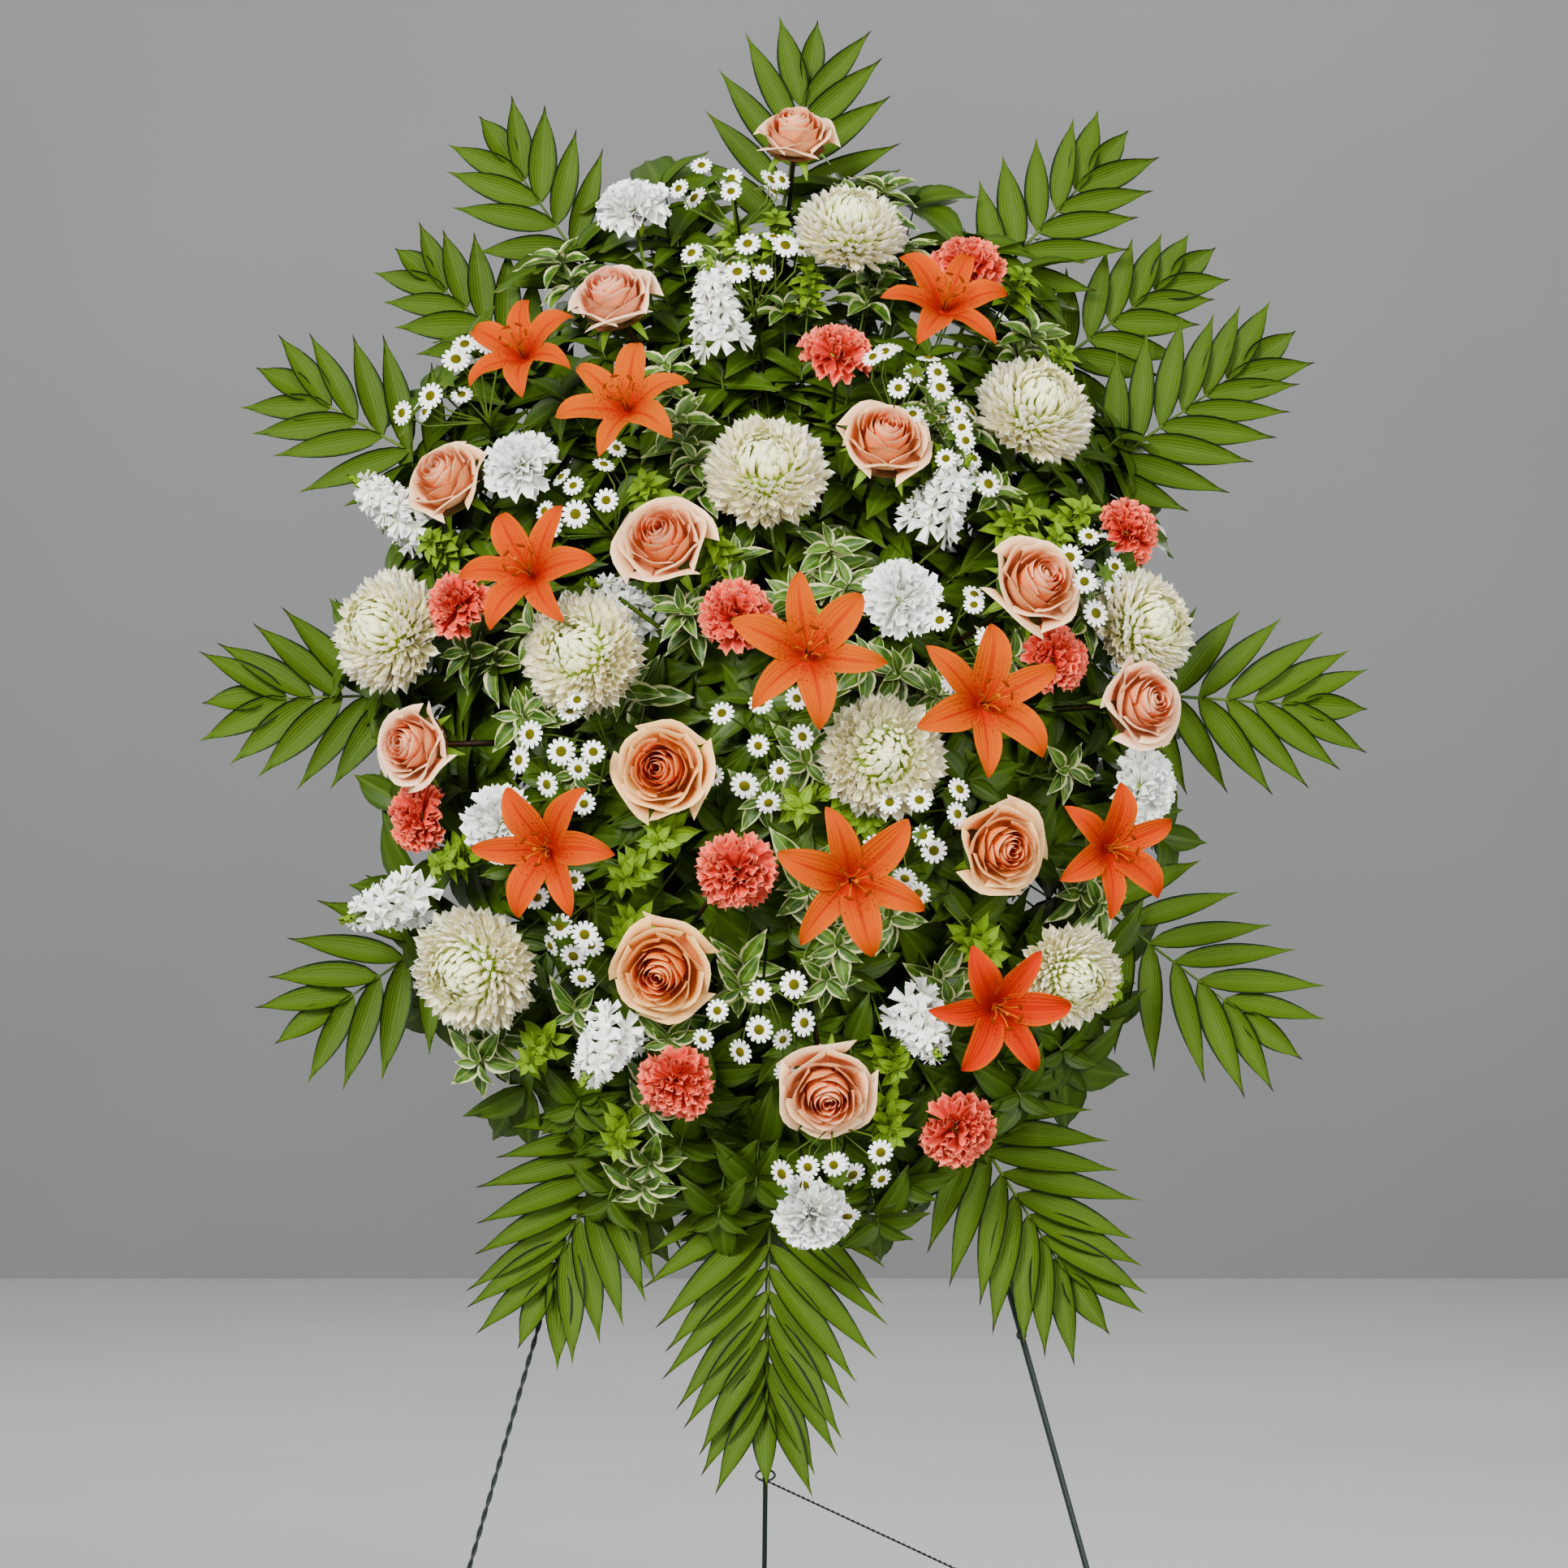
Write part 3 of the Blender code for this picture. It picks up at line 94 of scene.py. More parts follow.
# Each flower by kind: node, place across and above the floor, size, tone, how far it stands out
Flower = namedtuple("Flower", "kind node x z size tone ahead", defaults=(1.0, 0.5, 0.0))
PLANTED = {
    "rose": [
        ("roses_top", 0.01, 1.64, 0.9, 0.3),
        ("roses_top", -0.145, 1.495, 1.0, 0.1),
        ("rose_upper_middle", 0.085, 1.37, 1.05),
        ("rose_left_high", -0.285, 1.34, 1.0, 0.4),
        ("rose_centre_high", -0.1, 1.285, 1.1, 0.4),
        ("roses_right_inner", 0.21, 1.25, 1.1, 0.45),
        ("rose_right", 0.3, 1.15, 1.0, 0.2),
        ("roses_left_inner", -0.31, 1.115, 0.95, 0.25),
        ("roses_left_inner", -0.1, 1.095, 1.1, 0.9),
        ("roses_right_inner", 0.18, 1.03, 1.05, 0.8),
        ("roses_low", -0.1, 0.93, 1.15, 0.95),
        ("roses_low", 0.035, 0.83, 1.1, 0.45),
    ],
    "mum": [
        ("mums_top", 0.055, 1.55, 0.95, 0.7),
        ("mums_top", 0.21, 1.395, 1.05, 0.3),
        ("mums_centre", -0.015, 1.34, 1.05, 0.6),
        ("mum_left", -0.33, 1.21, 1.05, 0.4, 0.03),
        ("mums_left_inner", -0.165, 1.19, 1.05, 0.6, 0.02),
        ("mum_right", 0.3, 1.215, 1.0, 0.3),
        ("mums_centre", 0.08, 1.105, 1.05, 0.6),
        ("mums_left_inner", -0.255, 0.93, 1.1, 0.2),
        ("mum_low_right", 0.235, 0.925, 0.9),
    ],
    "lily": [
        ("lilies_upper", 0.135, 1.485, 0.95),
        ("lilies_upper", -0.22, 1.445, 0.9, 0.4),
        ("lilies_centre", -0.132, 1.398, 0.97, 0.1),
        ("lilies_left", -0.21, 1.258, 1.0, 0.5, 0.015),
        ("lilies_centre", 0.02, 1.19, 1.12, 0.2, 0.026),
        ("lilies_right_inner", 0.165, 1.15, 1.1, 0.25),
        ("lilies_left", -0.195, 1.03, 1.0, 0.55),
        ("lilies_right_inner", 0.055, 1.005, 1.1, 0.35),
        ("lilies_right", 0.27, 1.03, 0.95, 0.7),
        ("lilies_right", 0.175, 0.9, 1.0, 1.0),
    ],
    "carnation": [
        ("carnations_upper", 0.16, 1.53, 1.0, 0.6),
        ("carnations_upper", 0.045, 1.45, 0.95),
        ("carnations_right", 0.295, 1.3, 0.9, 0.6),
        ("carnations_right", 0.23, 1.19, 0.95),
        ("carnations_left_inner", -0.275, 1.235, 0.9, 0.6),
        ("carnations_left_low", -0.31, 1.055, 0.9, 0.8),
        ("carnations_left_inner", -0.04, 1.225, 1.0, 0.6),
        ("carnations_left_low", -0.04, 1.01),
        ("carnations_low", -0.09, 0.835, 1.0, 0.8),
        ("carnations_low", 0.145, 0.795, 1.0, 0.7),
    ],
    "white_carnation": [
        ("white_carnations_left", -0.13, 1.58, 1.0, 0.3),
        ("white_carnations_left", -0.225, 1.355, 1.0, 0.3),
        ("white_carnations_right", 0.1, 1.24, 1.05, 0.3),
        ("white_carnations_right", 0.305, 1.08, 1.0, 0.3),
        ("white_carnations_low", -0.24, 1.05, 1.0, 0.3),
        ("white_carnations_low", 0.025, 0.725, 1.0, 0.6),
    ],
    "stock": [
        ("stocks_upper", -0.055, 1.47),
        ("stocks_left", -0.32, 1.31),
        ("stocks_right", 0.13, 1.315, 1.0, 0.5, -0.02),
        ("stocks_upper", -0.13, 1.225, 1.0, 0.5, -0.06),
        ("stocks_left", -0.32, 0.985),
        ("stocks_right", 0.11, 0.89),
        ("stock_low", -0.145, 0.87),
    ],
    "daisy": [
        ("daisies_top", -0.045, 1.6),
        ("daisies_top", -0.03, 1.53),
        ("daisies_left", -0.285, 1.425),
        ("daisies_top", 0.11, 1.43),
        ("daisies_left", -0.17, 1.325),
        ("daisies_right", 0.145, 1.375),
        ("daisies_right", 0.27, 1.26),
        ("daisies_right", 0.165, 1.2),
        ("daisies_left", -0.18, 1.11),
        ("daisies_low", -0.02, 1.115),
        ("daisies_low", 0.115, 1.04),
        ("daisies_low", -0.185, 0.965),
        ("daisies_low", -0.02, 0.885),
        ("daisies_low", 0.045, 0.76),
    ],
    "greens": [
        ("greens_upper", -0.02, 1.07),
        ("greens_upper", -0.04, 1.275),
        ("greens_lower", 0.035, 0.92),
        ("greens_lower", -0.175, 1.09, 1.0, 0.5, -0.01),
        ("greens_upper", 0.18, 1.33),
        ("greens_lower", 0.24, 1.095),
        ("greens_upper", 0.0, 1.49),
        ("greens_lower", -0.175, 0.893),
    ],
}
FLOWERS = [Flower(kind, *row) for kind, rows in PLANTED.items() for row in rows]

# Palm fronds: where the leaflets start, the rib's tip, depth, leaflet length, tone; the bottom fronds' low
# tone is painted shade
FRONDS = {
    "frond_top": ((-0.005, 1.56), (0.02, 1.69), 0.045, 0.105, 0.6),
    "frond_upper_left": ((-0.165, 1.52), (-0.235, 1.62), 0.05, 0.09, 0.6),
    "frond_upper_right": ((0.165, 1.5), (0.265, 1.61), 0.05, 0.09, 0.7),
    "frond_right_high": ((0.24, 1.33), (0.395, 1.44), 0.06, 0.095, 0.6),
    "frond_left_high": ((-0.27, 1.34), (-0.405, 1.415), 0.06, 0.095, 0.5),
    "frond_left": ((-0.3, 1.16), (-0.44, 1.155), 0.05, 0.1, 0.6),
    "frond_right": ((0.3, 1.16), (0.44, 1.15), 0.05, 0.1, 0.7),
    "frond_right_low": ((0.26, 0.985), (0.385, 0.89), 0.06, 0.11, 0.9),
    "frond_left_low": ((-0.27, 0.97), (-0.378, 0.895), 0.06, 0.1, 0.5),
    # The bottom fronds' low tones paint them darker: painted shade for fronds that hang away from the light
    "frond_bottom_left": ((-0.12, 0.83), (-0.195, 0.67), 0.05, 0.112, 0.15),
    "frond_bottom": ((-0.01, 0.82), (-0.015, 0.57), 0.065, 0.126, 0.1),
    "frond_bottom_right": ((0.135, 0.83), (0.235, 0.675), 0.05, 0.112, 0.2),
    "frond_back_right": ((0.2, 1.42), (0.335, 1.52), 0.032, 0.08, 0.3),
    "frond_back_left": ((-0.2, 1.43), (-0.305, 1.52), 0.032, 0.08, 0.2),
}
LEAFLET_SPACING = 0.025
LOWER_SPACING = 0.0195
LEAFLET_WIDTHS = (0.0215, 0.026)
LEAFLET_LENGTHS = (0.94, 1.03)
LEAFLET_REACH = 1.05
LEAFLET_ARCH = 0.01 * math.sin(math.pi * 0.8)
HIDDEN_PAIRS = 4
RIB_THICKNESS = ((0.25, 0.0016), (0.5, 0.0014), (0.75, 0.0011), (1.0, 0.0007))


def middle_of(node):
    """The two corners of a solid's box and their middle."""
    low, high = (Vector(tuple(corner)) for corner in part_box(node))
    return low, high, (low + high) / 2


LEAN = math.atan(FRONT_RUN / APEX_HEIGHT)
OUTWARD = Vector((0, -math.cos(LEAN), math.sin(LEAN)))
ALONG = Vector((0, math.sin(LEAN), math.cos(LEAN)))
RIGHTWARD = Vector((1, 0, 0))
UPWARD = Vector((0, 0, 1))
FOAM_CENTRE = middle_of("foam_block")[2]
APEX_Y = (middle_of("front_leg_left")[0].y + LEFT_WIRE) + FRONT_RUN
FROND_ROOT = FOAM_CENTRE + OUTWARD * FROND_ROOT_OUT
BLOOM_ROOT = FOAM_CENTRE + OUTWARD * BLOOM_ROOT_OUT
GOLDEN = math.pi * (3 - math.sqrt(5))


def spot(x, z, depth):
    """A place given across, above the floor, and in front of the easel's plane."""
    return Vector((x, APEX_Y - FRONT_RUN * (1 - z / APEX_HEIGHT) - depth, z))


def dome_depth(x, z):
    reach = ((x - DOME_X) / DOME_HALF_WIDTH) ** 2 + ((z - DOME_Z) / DOME_HALF_HEIGHT) ** 2
    return DOME_RIM_DEPTH + DOME_RISE * max(0.0, 1 - reach)


def settle():
    """Flowers that would press into each other move apart, one forward and one back."""
    heads = []
    for flower in FLOWERS:
        head = HEADS[flower.kind]
        depth = dome_depth(flower.x, flower.z) + head.forward + flower.ahead
        heads.append([flower.x, flower.z, depth, head.radius * flower.size])
    for _ in range(SETTLE_ROUNDS):
        moved = False
        for i, first in enumerate(heads):
            for second in heads[i + 1:]:
                across = math.hypot(first[0] - second[0], first[1] - second[1])
                need = first[3] + second[3] + HEAD_GAP
                if across >= need:
                    continue
                short = math.sqrt(need ** 2 - across ** 2) - abs(first[2] - second[2])
                if short < SETTLED:
                    continue
                side = 1 if first[2] >= second[2] else -1
                first[2] += side * short * SETTLE_SHARE
                second[2] -= side * short * SETTLE_SHARE
                moved = True
        for head in heads:
            head[2] = min(max(head[2], NEAREST_DEPTH), FURTHEST_DEPTH)
        if not moved:
            break
    return [spot(x, z, depth) for x, z, depth, radius in heads]


PLACES = settle()


def ray_to(place):
    return (place - BLOOM_ROOT).normalized()


def head_turn(place, kind, roll):
    """The turn and place of a flower built facing +Z."""
    way = (ray_to(place) + OUTWARD * HEADS[kind].facing).normalized()
    turn = way.to_track_quat("Z", "Y").to_matrix() @ Matrix.Rotation(roll, 3, "Z")
    return Matrix.Translation(place) @ turn.to_4x4()


def linked(name, data):
    """A new object in the scene."""
    obj = bpy.data.objects.new(name, data)
    bpy.context.scene.collection.objects.link(obj)
    return obj


def plain_mesh(name, points, edges=(), faces=()):
    mesh = bpy.data.meshes.new(name)
    mesh.from_pydata([tuple(point) for point in points], edges, faces)
    return mesh


def store(mesh, label, kind, field, values):
    made = mesh.attributes.new(label, kind, "POINT")
    made.data.foreach_set(field, np.array(values, np.float32).ravel())


# Node trees

class Nodes:
    """A node tree that is built one node at a time."""

    def node(self, kind, sockets=None, **settings):
        node = self.tree.nodes.new(kind)
        for key, value in settings.items():
            setattr(node, key, value)
        for key, value in (sockets or {}).items():
            if isinstance(value, Field):
                value = value.socket
            if isinstance(value, bpy.types.NodeSocket):
                self.tree.links.new(value, node.inputs[key])
            else:
                node.inputs[key].default_value = value
        return node

    def vector(self, operation, sockets):
        return self.node("ShaderNodeVectorMath", sockets, operation=operation).outputs[0]

    def maths(self, operation, first, second=0.0):
        return self.node("ShaderNodeMath", {0: first, 1: second}, operation=operation).outputs[0]


def operator(operation, swapped=False):
    """A Field's method that takes it through a Math node."""
    def joined(self, other=0.0):
        pair = (other, self) if swapped else (self, other)
        return Field(self.finish, self.finish.maths(operation, *pair))
    return joined


class Field:
    """A number that changes over a surface, built up by shader nodes."""

    __add__ = __radd__ = operator("ADD")
    __sub__ = operator("SUBTRACT")
    __rsub__ = operator("SUBTRACT", True)
    __mul__ = __rmul__ = operator("MULTIPLY")
    __abs__ = operator("ABSOLUTE")
    wave = operator("SINE")
    highest = operator("MAXIMUM")

    def __init__(self, finish, socket):
        self.finish = finish
        self.socket = socket

    def between(self, low, high):
        """From 0 at low to 1 at high, eased and held outside them."""
        sockets = {"Value": self, "From Min": low, "From Max": high}
        node = self.finish.node("ShaderNodeMapRange", sockets, interpolation_type="SMOOTHSTEP")
        return Field(self.finish, node.outputs["Result"])


SOFT_SCALE = 0.004


class Finish(Nodes):
    """A material whose colour and relief follow the petal or leaf that it is on."""

    def __init__(self, name, roughness, shine=0.5, soft=0.0):
        self.material = bpy.data.materials.new(name)
        self.material.use_nodes = True
        self.tree = self.material.node_tree
        self.inputs = self.tree.nodes["Principled BSDF"].inputs
        self.inputs["Roughness"].default_value = roughness
        self.inputs["Specular IOR Level"].default_value = shine
        if soft:
            self.inputs["Subsurface Weight"].default_value = soft
            self.inputs["Subsurface Scale"].default_value = SOFT_SCALE

    def form(self):
        """Along, across and layer of the petal, and the tone of the flower."""
        read = []
        for label, field in (("form", "Vector"), ("tone", "Fac")):
            node = self.node("ShaderNodeAttribute", attribute_type="GEOMETRY", attribute_name=label)
            read.append(node.outputs[field])
        split = self.node("ShaderNodeSeparateXYZ", {0: read[0]})
        return [Field(self, socket) for socket in (*split.outputs, read[1])]

    def noise(self, scale, detail=2.0, stretch=None):
        where = self.node("ShaderNodeTexCoord").outputs["Object"]
        if stretch:
            where = self.vector("MULTIPLY", {0: where, 1: stretch})
        node = self.node("ShaderNodeTexNoise", {"Vector": where, "Scale": scale, "Detail": detail})
        return Field(self, node.outputs[0])

    def ramp(self, field, *stops):
        node = self.node("ShaderNodeValToRGB", {0: field})
        ramp = node.color_ramp.elements
        while len(ramp) < len(stops):
            ramp.new(0.5)
        for stop, (place, colour) in zip(ramp, stops):
            stop.position = place
            stop.color = (*colour, 1.0)
        return node.outputs["Color"]

    def mix(self, share, first, second):
        colours = [(*c, 1.0) if isinstance(c, tuple) else c for c in (first, second)]
        sockets = {0: share, 6: colours[0], 7: colours[1]}
        return self.node("ShaderNodeMix", sockets, data_type="RGBA", clamp_factor=True).outputs[2]

    def painted(self, colour, height=None, depth=0.0004, strength=0.6, rough=None):
        """Joins the looks to the shader. A rough tuple is its base, noise scale and amount."""
        self.tree.links.new(colour, self.inputs["Base Color"])
        if height is not None:
            sockets = {"Height": height, "Distance": depth, "Strength": strength}
            self.tree.links.new(self.node("ShaderNodeBump", sockets).outputs[0], self.inputs["Normal"])
        if isinstance(rough, tuple):
            rough = rough[0] + self.noise(rough[1]) * rough[2]
        if rough is not None:
            self.tree.links.new(rough.socket, self.inputs["Roughness"])
        return self.material


def formed(*settings):
    """A new finish, with the form and tone that it follows."""
    finish = Finish(*settings)
    return finish, *finish.form()


# Finishes

def rose_finish():
    f, along, across, layer, tone = formed("rose_petal", 0.55, 0.25, 0.12)
    outer = f.mix(tone, (0.74, 0.34, 0.17), (0.68, 0.25, 0.022))
    heart = f.mix(tone, (0.88, 0.19, 0.05), (0.9, 0.13, 0.0))
    colour = f.mix(layer.between(0.1, 0.75), heart, outer)
    colour = f.mix((1 - along).between(0.25, 0.95) * 0.75, colour, heart)
    rim = f.mix(tone, (0.97, 0.72, 0.5), (0.95, 0.6, 0.22))
    colour = f.mix(along.between(0.82, 1.0) * 0.65 + layer.between(0.55, 1.0) * 0.3, colour, rim)
    colour = f.mix(f.noise(70.0) * 0.14, colour, (0.6, 0.16, 0.04))
    ridges = (across * 34).wave() * 0.5 + f.noise(420.0) * 0.6
    return f.painted(colour, ridges, 0.0003, 0.4, (0.48, 160.0, 0.18))


def mum_finish():
    f, along, across, layer, tone = formed("mum_petal", 0.6, 0.25, 0.15)
    cream = f.mix(tone, (0.98, 0.92, 0.64), (0.97, 0.89, 0.52))
    green = f.mix(along.between(0.0, 0.9), (0.76, 0.78, 0.26), (0.95, 0.92, 0.52))
    colour = f.mix(layer.between(0.02, 0.42), green, cream)
    colour = f.mix((1 - along).between(0.55, 1.0) * 0.4, colour, (0.9, 0.88, 0.52))
    colour = f.mix(along.between(0.55, 1.0) * layer.between(0.2, 0.9), colour, (1.0, 0.97, 0.8))
    return f.painted(colour, (across * 9).wave(), 0.0003, 0.5, (0.5, 200.0, 0.2))


def lily_finish():
    f, along, across, layer, tone = formed("lily_petal", 0.6, 0.0)
    blade = f.mix(tone, (0.41, 0.068, 0.0), (0.4, 0.017, 0.0))
    throat = f.mix(tone, (0.4, 0.014, 0.0), (0.28, 0.002, 0.0))
    colour = f.mix(along.between(0.02, 0.38), throat, blade)
    midrib = 1 - abs(across).between(0.02, 0.2)
    colour = f.mix(midrib * (1 - along.between(0.5, 1.0)) * 0.65, colour, (0.3, 0.004, 0.0))
    colour = f.mix(abs(across).between(0.55, 1.0) * 0.4, colour, (0.5, 0.095, 0.0))
    dots = f.noise(620.0, 0.0).between(0.66, 0.72) * (1 - along.between(0.3, 0.5))
    colour = f.mix(dots * 0.8, colour, (0.16, 0.015, 0.002))
    ridges = (across * 26).wave() * 0.6 + f.noise(300.0) * 0.3
    return f.painted(colour, ridges, 0.0005, 0.5, (0.34, 120.0, 0.18))


def anther_finish():
    f, along, across, layer, tone = formed("lily_stamen", 0.8, 0.05)
    colour = f.mix(layer, (0.46, 0.095, 0.0), (0.13, 0.014, 0.0))
    return f.painted(f.mix(f.noise(900.0) * 0.3, colour, (0.3, 0.05, 0.0)), f.noise(1400.0), 0.0003)


def carnation_finish(name, deep, face, edge):
    f, along, across, layer, tone = formed(name, 0.6, 0.2, 0.1)
    colour = f.ramp(along, (0.0, deep), (0.5, face), (0.86, face), (1.0, edge))
    shade = f.mix(tone * 0.5, colour, f.mix(0.5, colour, deep))
    colour = f.mix(f.noise(130.0).between(0.35, 0.75) * 0.3, shade, edge)
    ridges = (across * 30).wave() * 0.5 + f.noise(500.0) * 0.5
    return f.painted(colour, ridges, 0.0003, 0.5, (0.52, 200.0, 0.2))


def white_finish():
    f, along, across, layer, tone = formed("white_petal", 0.58, 0.3, 0.12)
    colour = f.ramp(along, (0.0, (0.5, 0.58, 0.22)), (0.3, (0.9, 0.91, 0.8)), (1.0, (0.96, 0.96, 0.94)))
    ridges = (across * 14).wave() * 0.5 + f.noise(700.0) * 0.5
    colour = f.mix(f.noise(260.0) * 0.12, colour, (0.8, 0.84, 0.7))
    return f.painted(colour, ridges, 0.0002, 0.5, (0.5, 300.0, 0.2))


def daisy_heart_finish():
    f, along, across, layer, tone = formed("daisy_heart", 0.9, 0.1)
    grain = f.noise(1900.0, 1.0)
    yellow = f.mix(grain, (0.26, 0.19, 0.0), (0.13, 0.1, 0.0))
    return f.painted(f.mix(along, yellow, (0.07, 0.07, 0.001)), grain, 0.0008, 1.0)


def leaf_finish(name, dark, light, rib, ridges, sheen, edge_dark=0.3):
    f, along, across, layer, tone = formed(name, sheen, 0.14)
    green = f.mix(tone * 0.7 + f.noise(9.0) * 0.5 - 0.1, dark, light)
    ridge = (abs(across) * ridges).wave()
    green = f.mix(ridge.between(0.3, 1.0) * 0.22, green, light)
    green = f.mix(abs(across).between(0.76, 0.9) * edge_dark, green, (0.003, 0.01, 0.001))
    green = f.mix(along.between(0.93, 1.0) * 0.5, green, (0.1, 0.07, 0.02))
    colour = f.mix((1 - abs(across).between(0.02, 0.14)) * 0.7, green, rib)
    return f.painted(colour, ridge * 0.5 + f.noise(380.0) * 0.4, rough=(sheen - 0.08, 60.0, 0.2))


def variegated_finish():
    f, along, across, layer, tone = formed("variegated_leaf", 0.42, 0.28)
    blotch = f.noise(95.0, 3.0)
    green = f.mix(blotch.between(0.35, 0.65), (0.022, 0.065, 0.003), (0.07, 0.145, 0.01))
    margin = (abs(across) + blotch * 0.35).highest(along + blotch * 0.2 - 0.08).between(0.86, 0.98)
    green = f.mix(margin * 0.85, green, (0.52, 0.54, 0.24))
    colour = f.mix((1 - abs(across).between(0.03, 0.12)) * 0.6, green, (0.2, 0.28, 0.08))
    return f.painted(colour, f.noise(260.0), 0.0005, 0.5, (0.36, 90.0, 0.2))


def stem_finish(name, green, tint):
    f = Finish(name, 0.55, 0.2)
    colour = f.mix(f.noise(22.0).between(0.3, 0.7), green, tint)
    return f.painted(colour, f.noise(300.0, 2.0, (1.0, 1.0, 0.15)), rough=(0.42, 80.0, 0.2))


def wire_finish():
    f = Finish("wire_lacquer", 0.55, 0.25)
    wear = f.noise(260.0, 4.0).between(0.62, 0.74)
    green = f.mix(f.noise(30.0), (0.003, 0.008, 0.005), (0.006, 0.015, 0.009))
    colour = f.mix(wear * 0.5, green, (0.06, 0.065, 0.06))
    return f.painted(colour, f.noise(700.0, 3.0), 0.0002, 0.6, 0.42 + wear * 0.2 + f.noise(500.0) * 0.1)


def foam_finish():
    f = Finish("wet_foam", 0.9)
    pores = f.noise(900.0, 3.0)
    colour = f.mix(pores.between(0.35, 0.65), (0.012, 0.05, 0.02), (0.05, 0.17, 0.07))
    return f.painted(colour, pores, 0.0012, 1.0, 0.8 + pores * 0.15)


def tray_finish():
    f = Finish("tray_plastic", 0.4)
    colour = f.mix(f.noise(40.0), (0.01, 0.055, 0.022), (0.02, 0.085, 0.035))
    return f.painted(colour, f.noise(1200.0), 0.0002, 0.5, (0.34, 150.0, 0.2))


# Ruffled petals: deep, face, edge. Leaves: dark, light, rib, ridges, sheen, dark edge. Stems: two greens
LOOKS = {
    "rose": rose_finish(),
    "mum": mum_finish(),
    "lily": lily_finish(),
    "stamen": anther_finish(),
    "carnation": carnation_finish(
        "coral_petal", (0.46, 0.006, 0.003), (0.7, 0.032, 0.014), (0.92, 0.21, 0.12)),
    "white_carnation": carnation_finish(
        "white_ruffle", (0.62, 0.66, 0.42), (0.94, 0.95, 0.9), (0.98, 0.98, 0.97)),
    "white": white_finish(),
    "daisy_heart": daisy_heart_finish(),
    "palm": leaf_finish(
        "palm_leaflet", (0.01, 0.026, 0.0003), (0.068, 0.13, 0.0004), (0.045, 0.095, 0.001), 30, 0.55, 0.95),
    "dark_leaf": leaf_finish(
        "dark_leaf", (0.01, 0.025, 0.0012), (0.052, 0.102, 0.004), (0.06, 0.11, 0.01), 12, 0.42),
    "bright_leaf": leaf_finish(
        "bright_leaf", (0.07, 0.16, 0.003), (0.18, 0.31, 0.006), (0.24, 0.36, 0.03), 10, 0.5),
    "fern": leaf_finish(
        "fern_leaflet", (0.01, 0.027, 0.001), (0.04, 0.082, 0.003), (0.05, 0.09, 0.01), 10, 0.5),
    "variegated": variegated_finish(),
    "stem": stem_finish("green_stem", (0.03, 0.066, 0.003), (0.065, 0.115, 0.006)),
    "rose_stem": stem_finish("rose_stem", (0.03, 0.08, 0.01), (0.12, 0.04, 0.015)),
    "wire": wire_finish(),
    "foam": foam_finish(),
    "tray": tray_finish(),
}


# Shapes in mesh code

def bezier(share, a, b, c, d):
    """The value at each share of a cubic curve through its two ends."""
    rest = 1 - share
    return a * rest ** 3 + 3 * b * rest ** 2 * share + 3 * c * rest * share ** 2 + d * share ** 3


def sheet(rows, columns):
    """The share along and across of each point of a petal."""
    return np.linspace(0, 1, rows)[:, None], np.linspace(-1, 1, columns)[None, :]


def laid(radius, angle, side=0.0):
    """Points at a radius and angle, moved sideways."""
    first = radius * np.cos(angle) - side * np.sin(angle)
    return first, radius * np.sin(angle) + side * np.cos(angle)


def outward(angle):
    return Vector((math.cos(angle), math.sin(angle), 0))


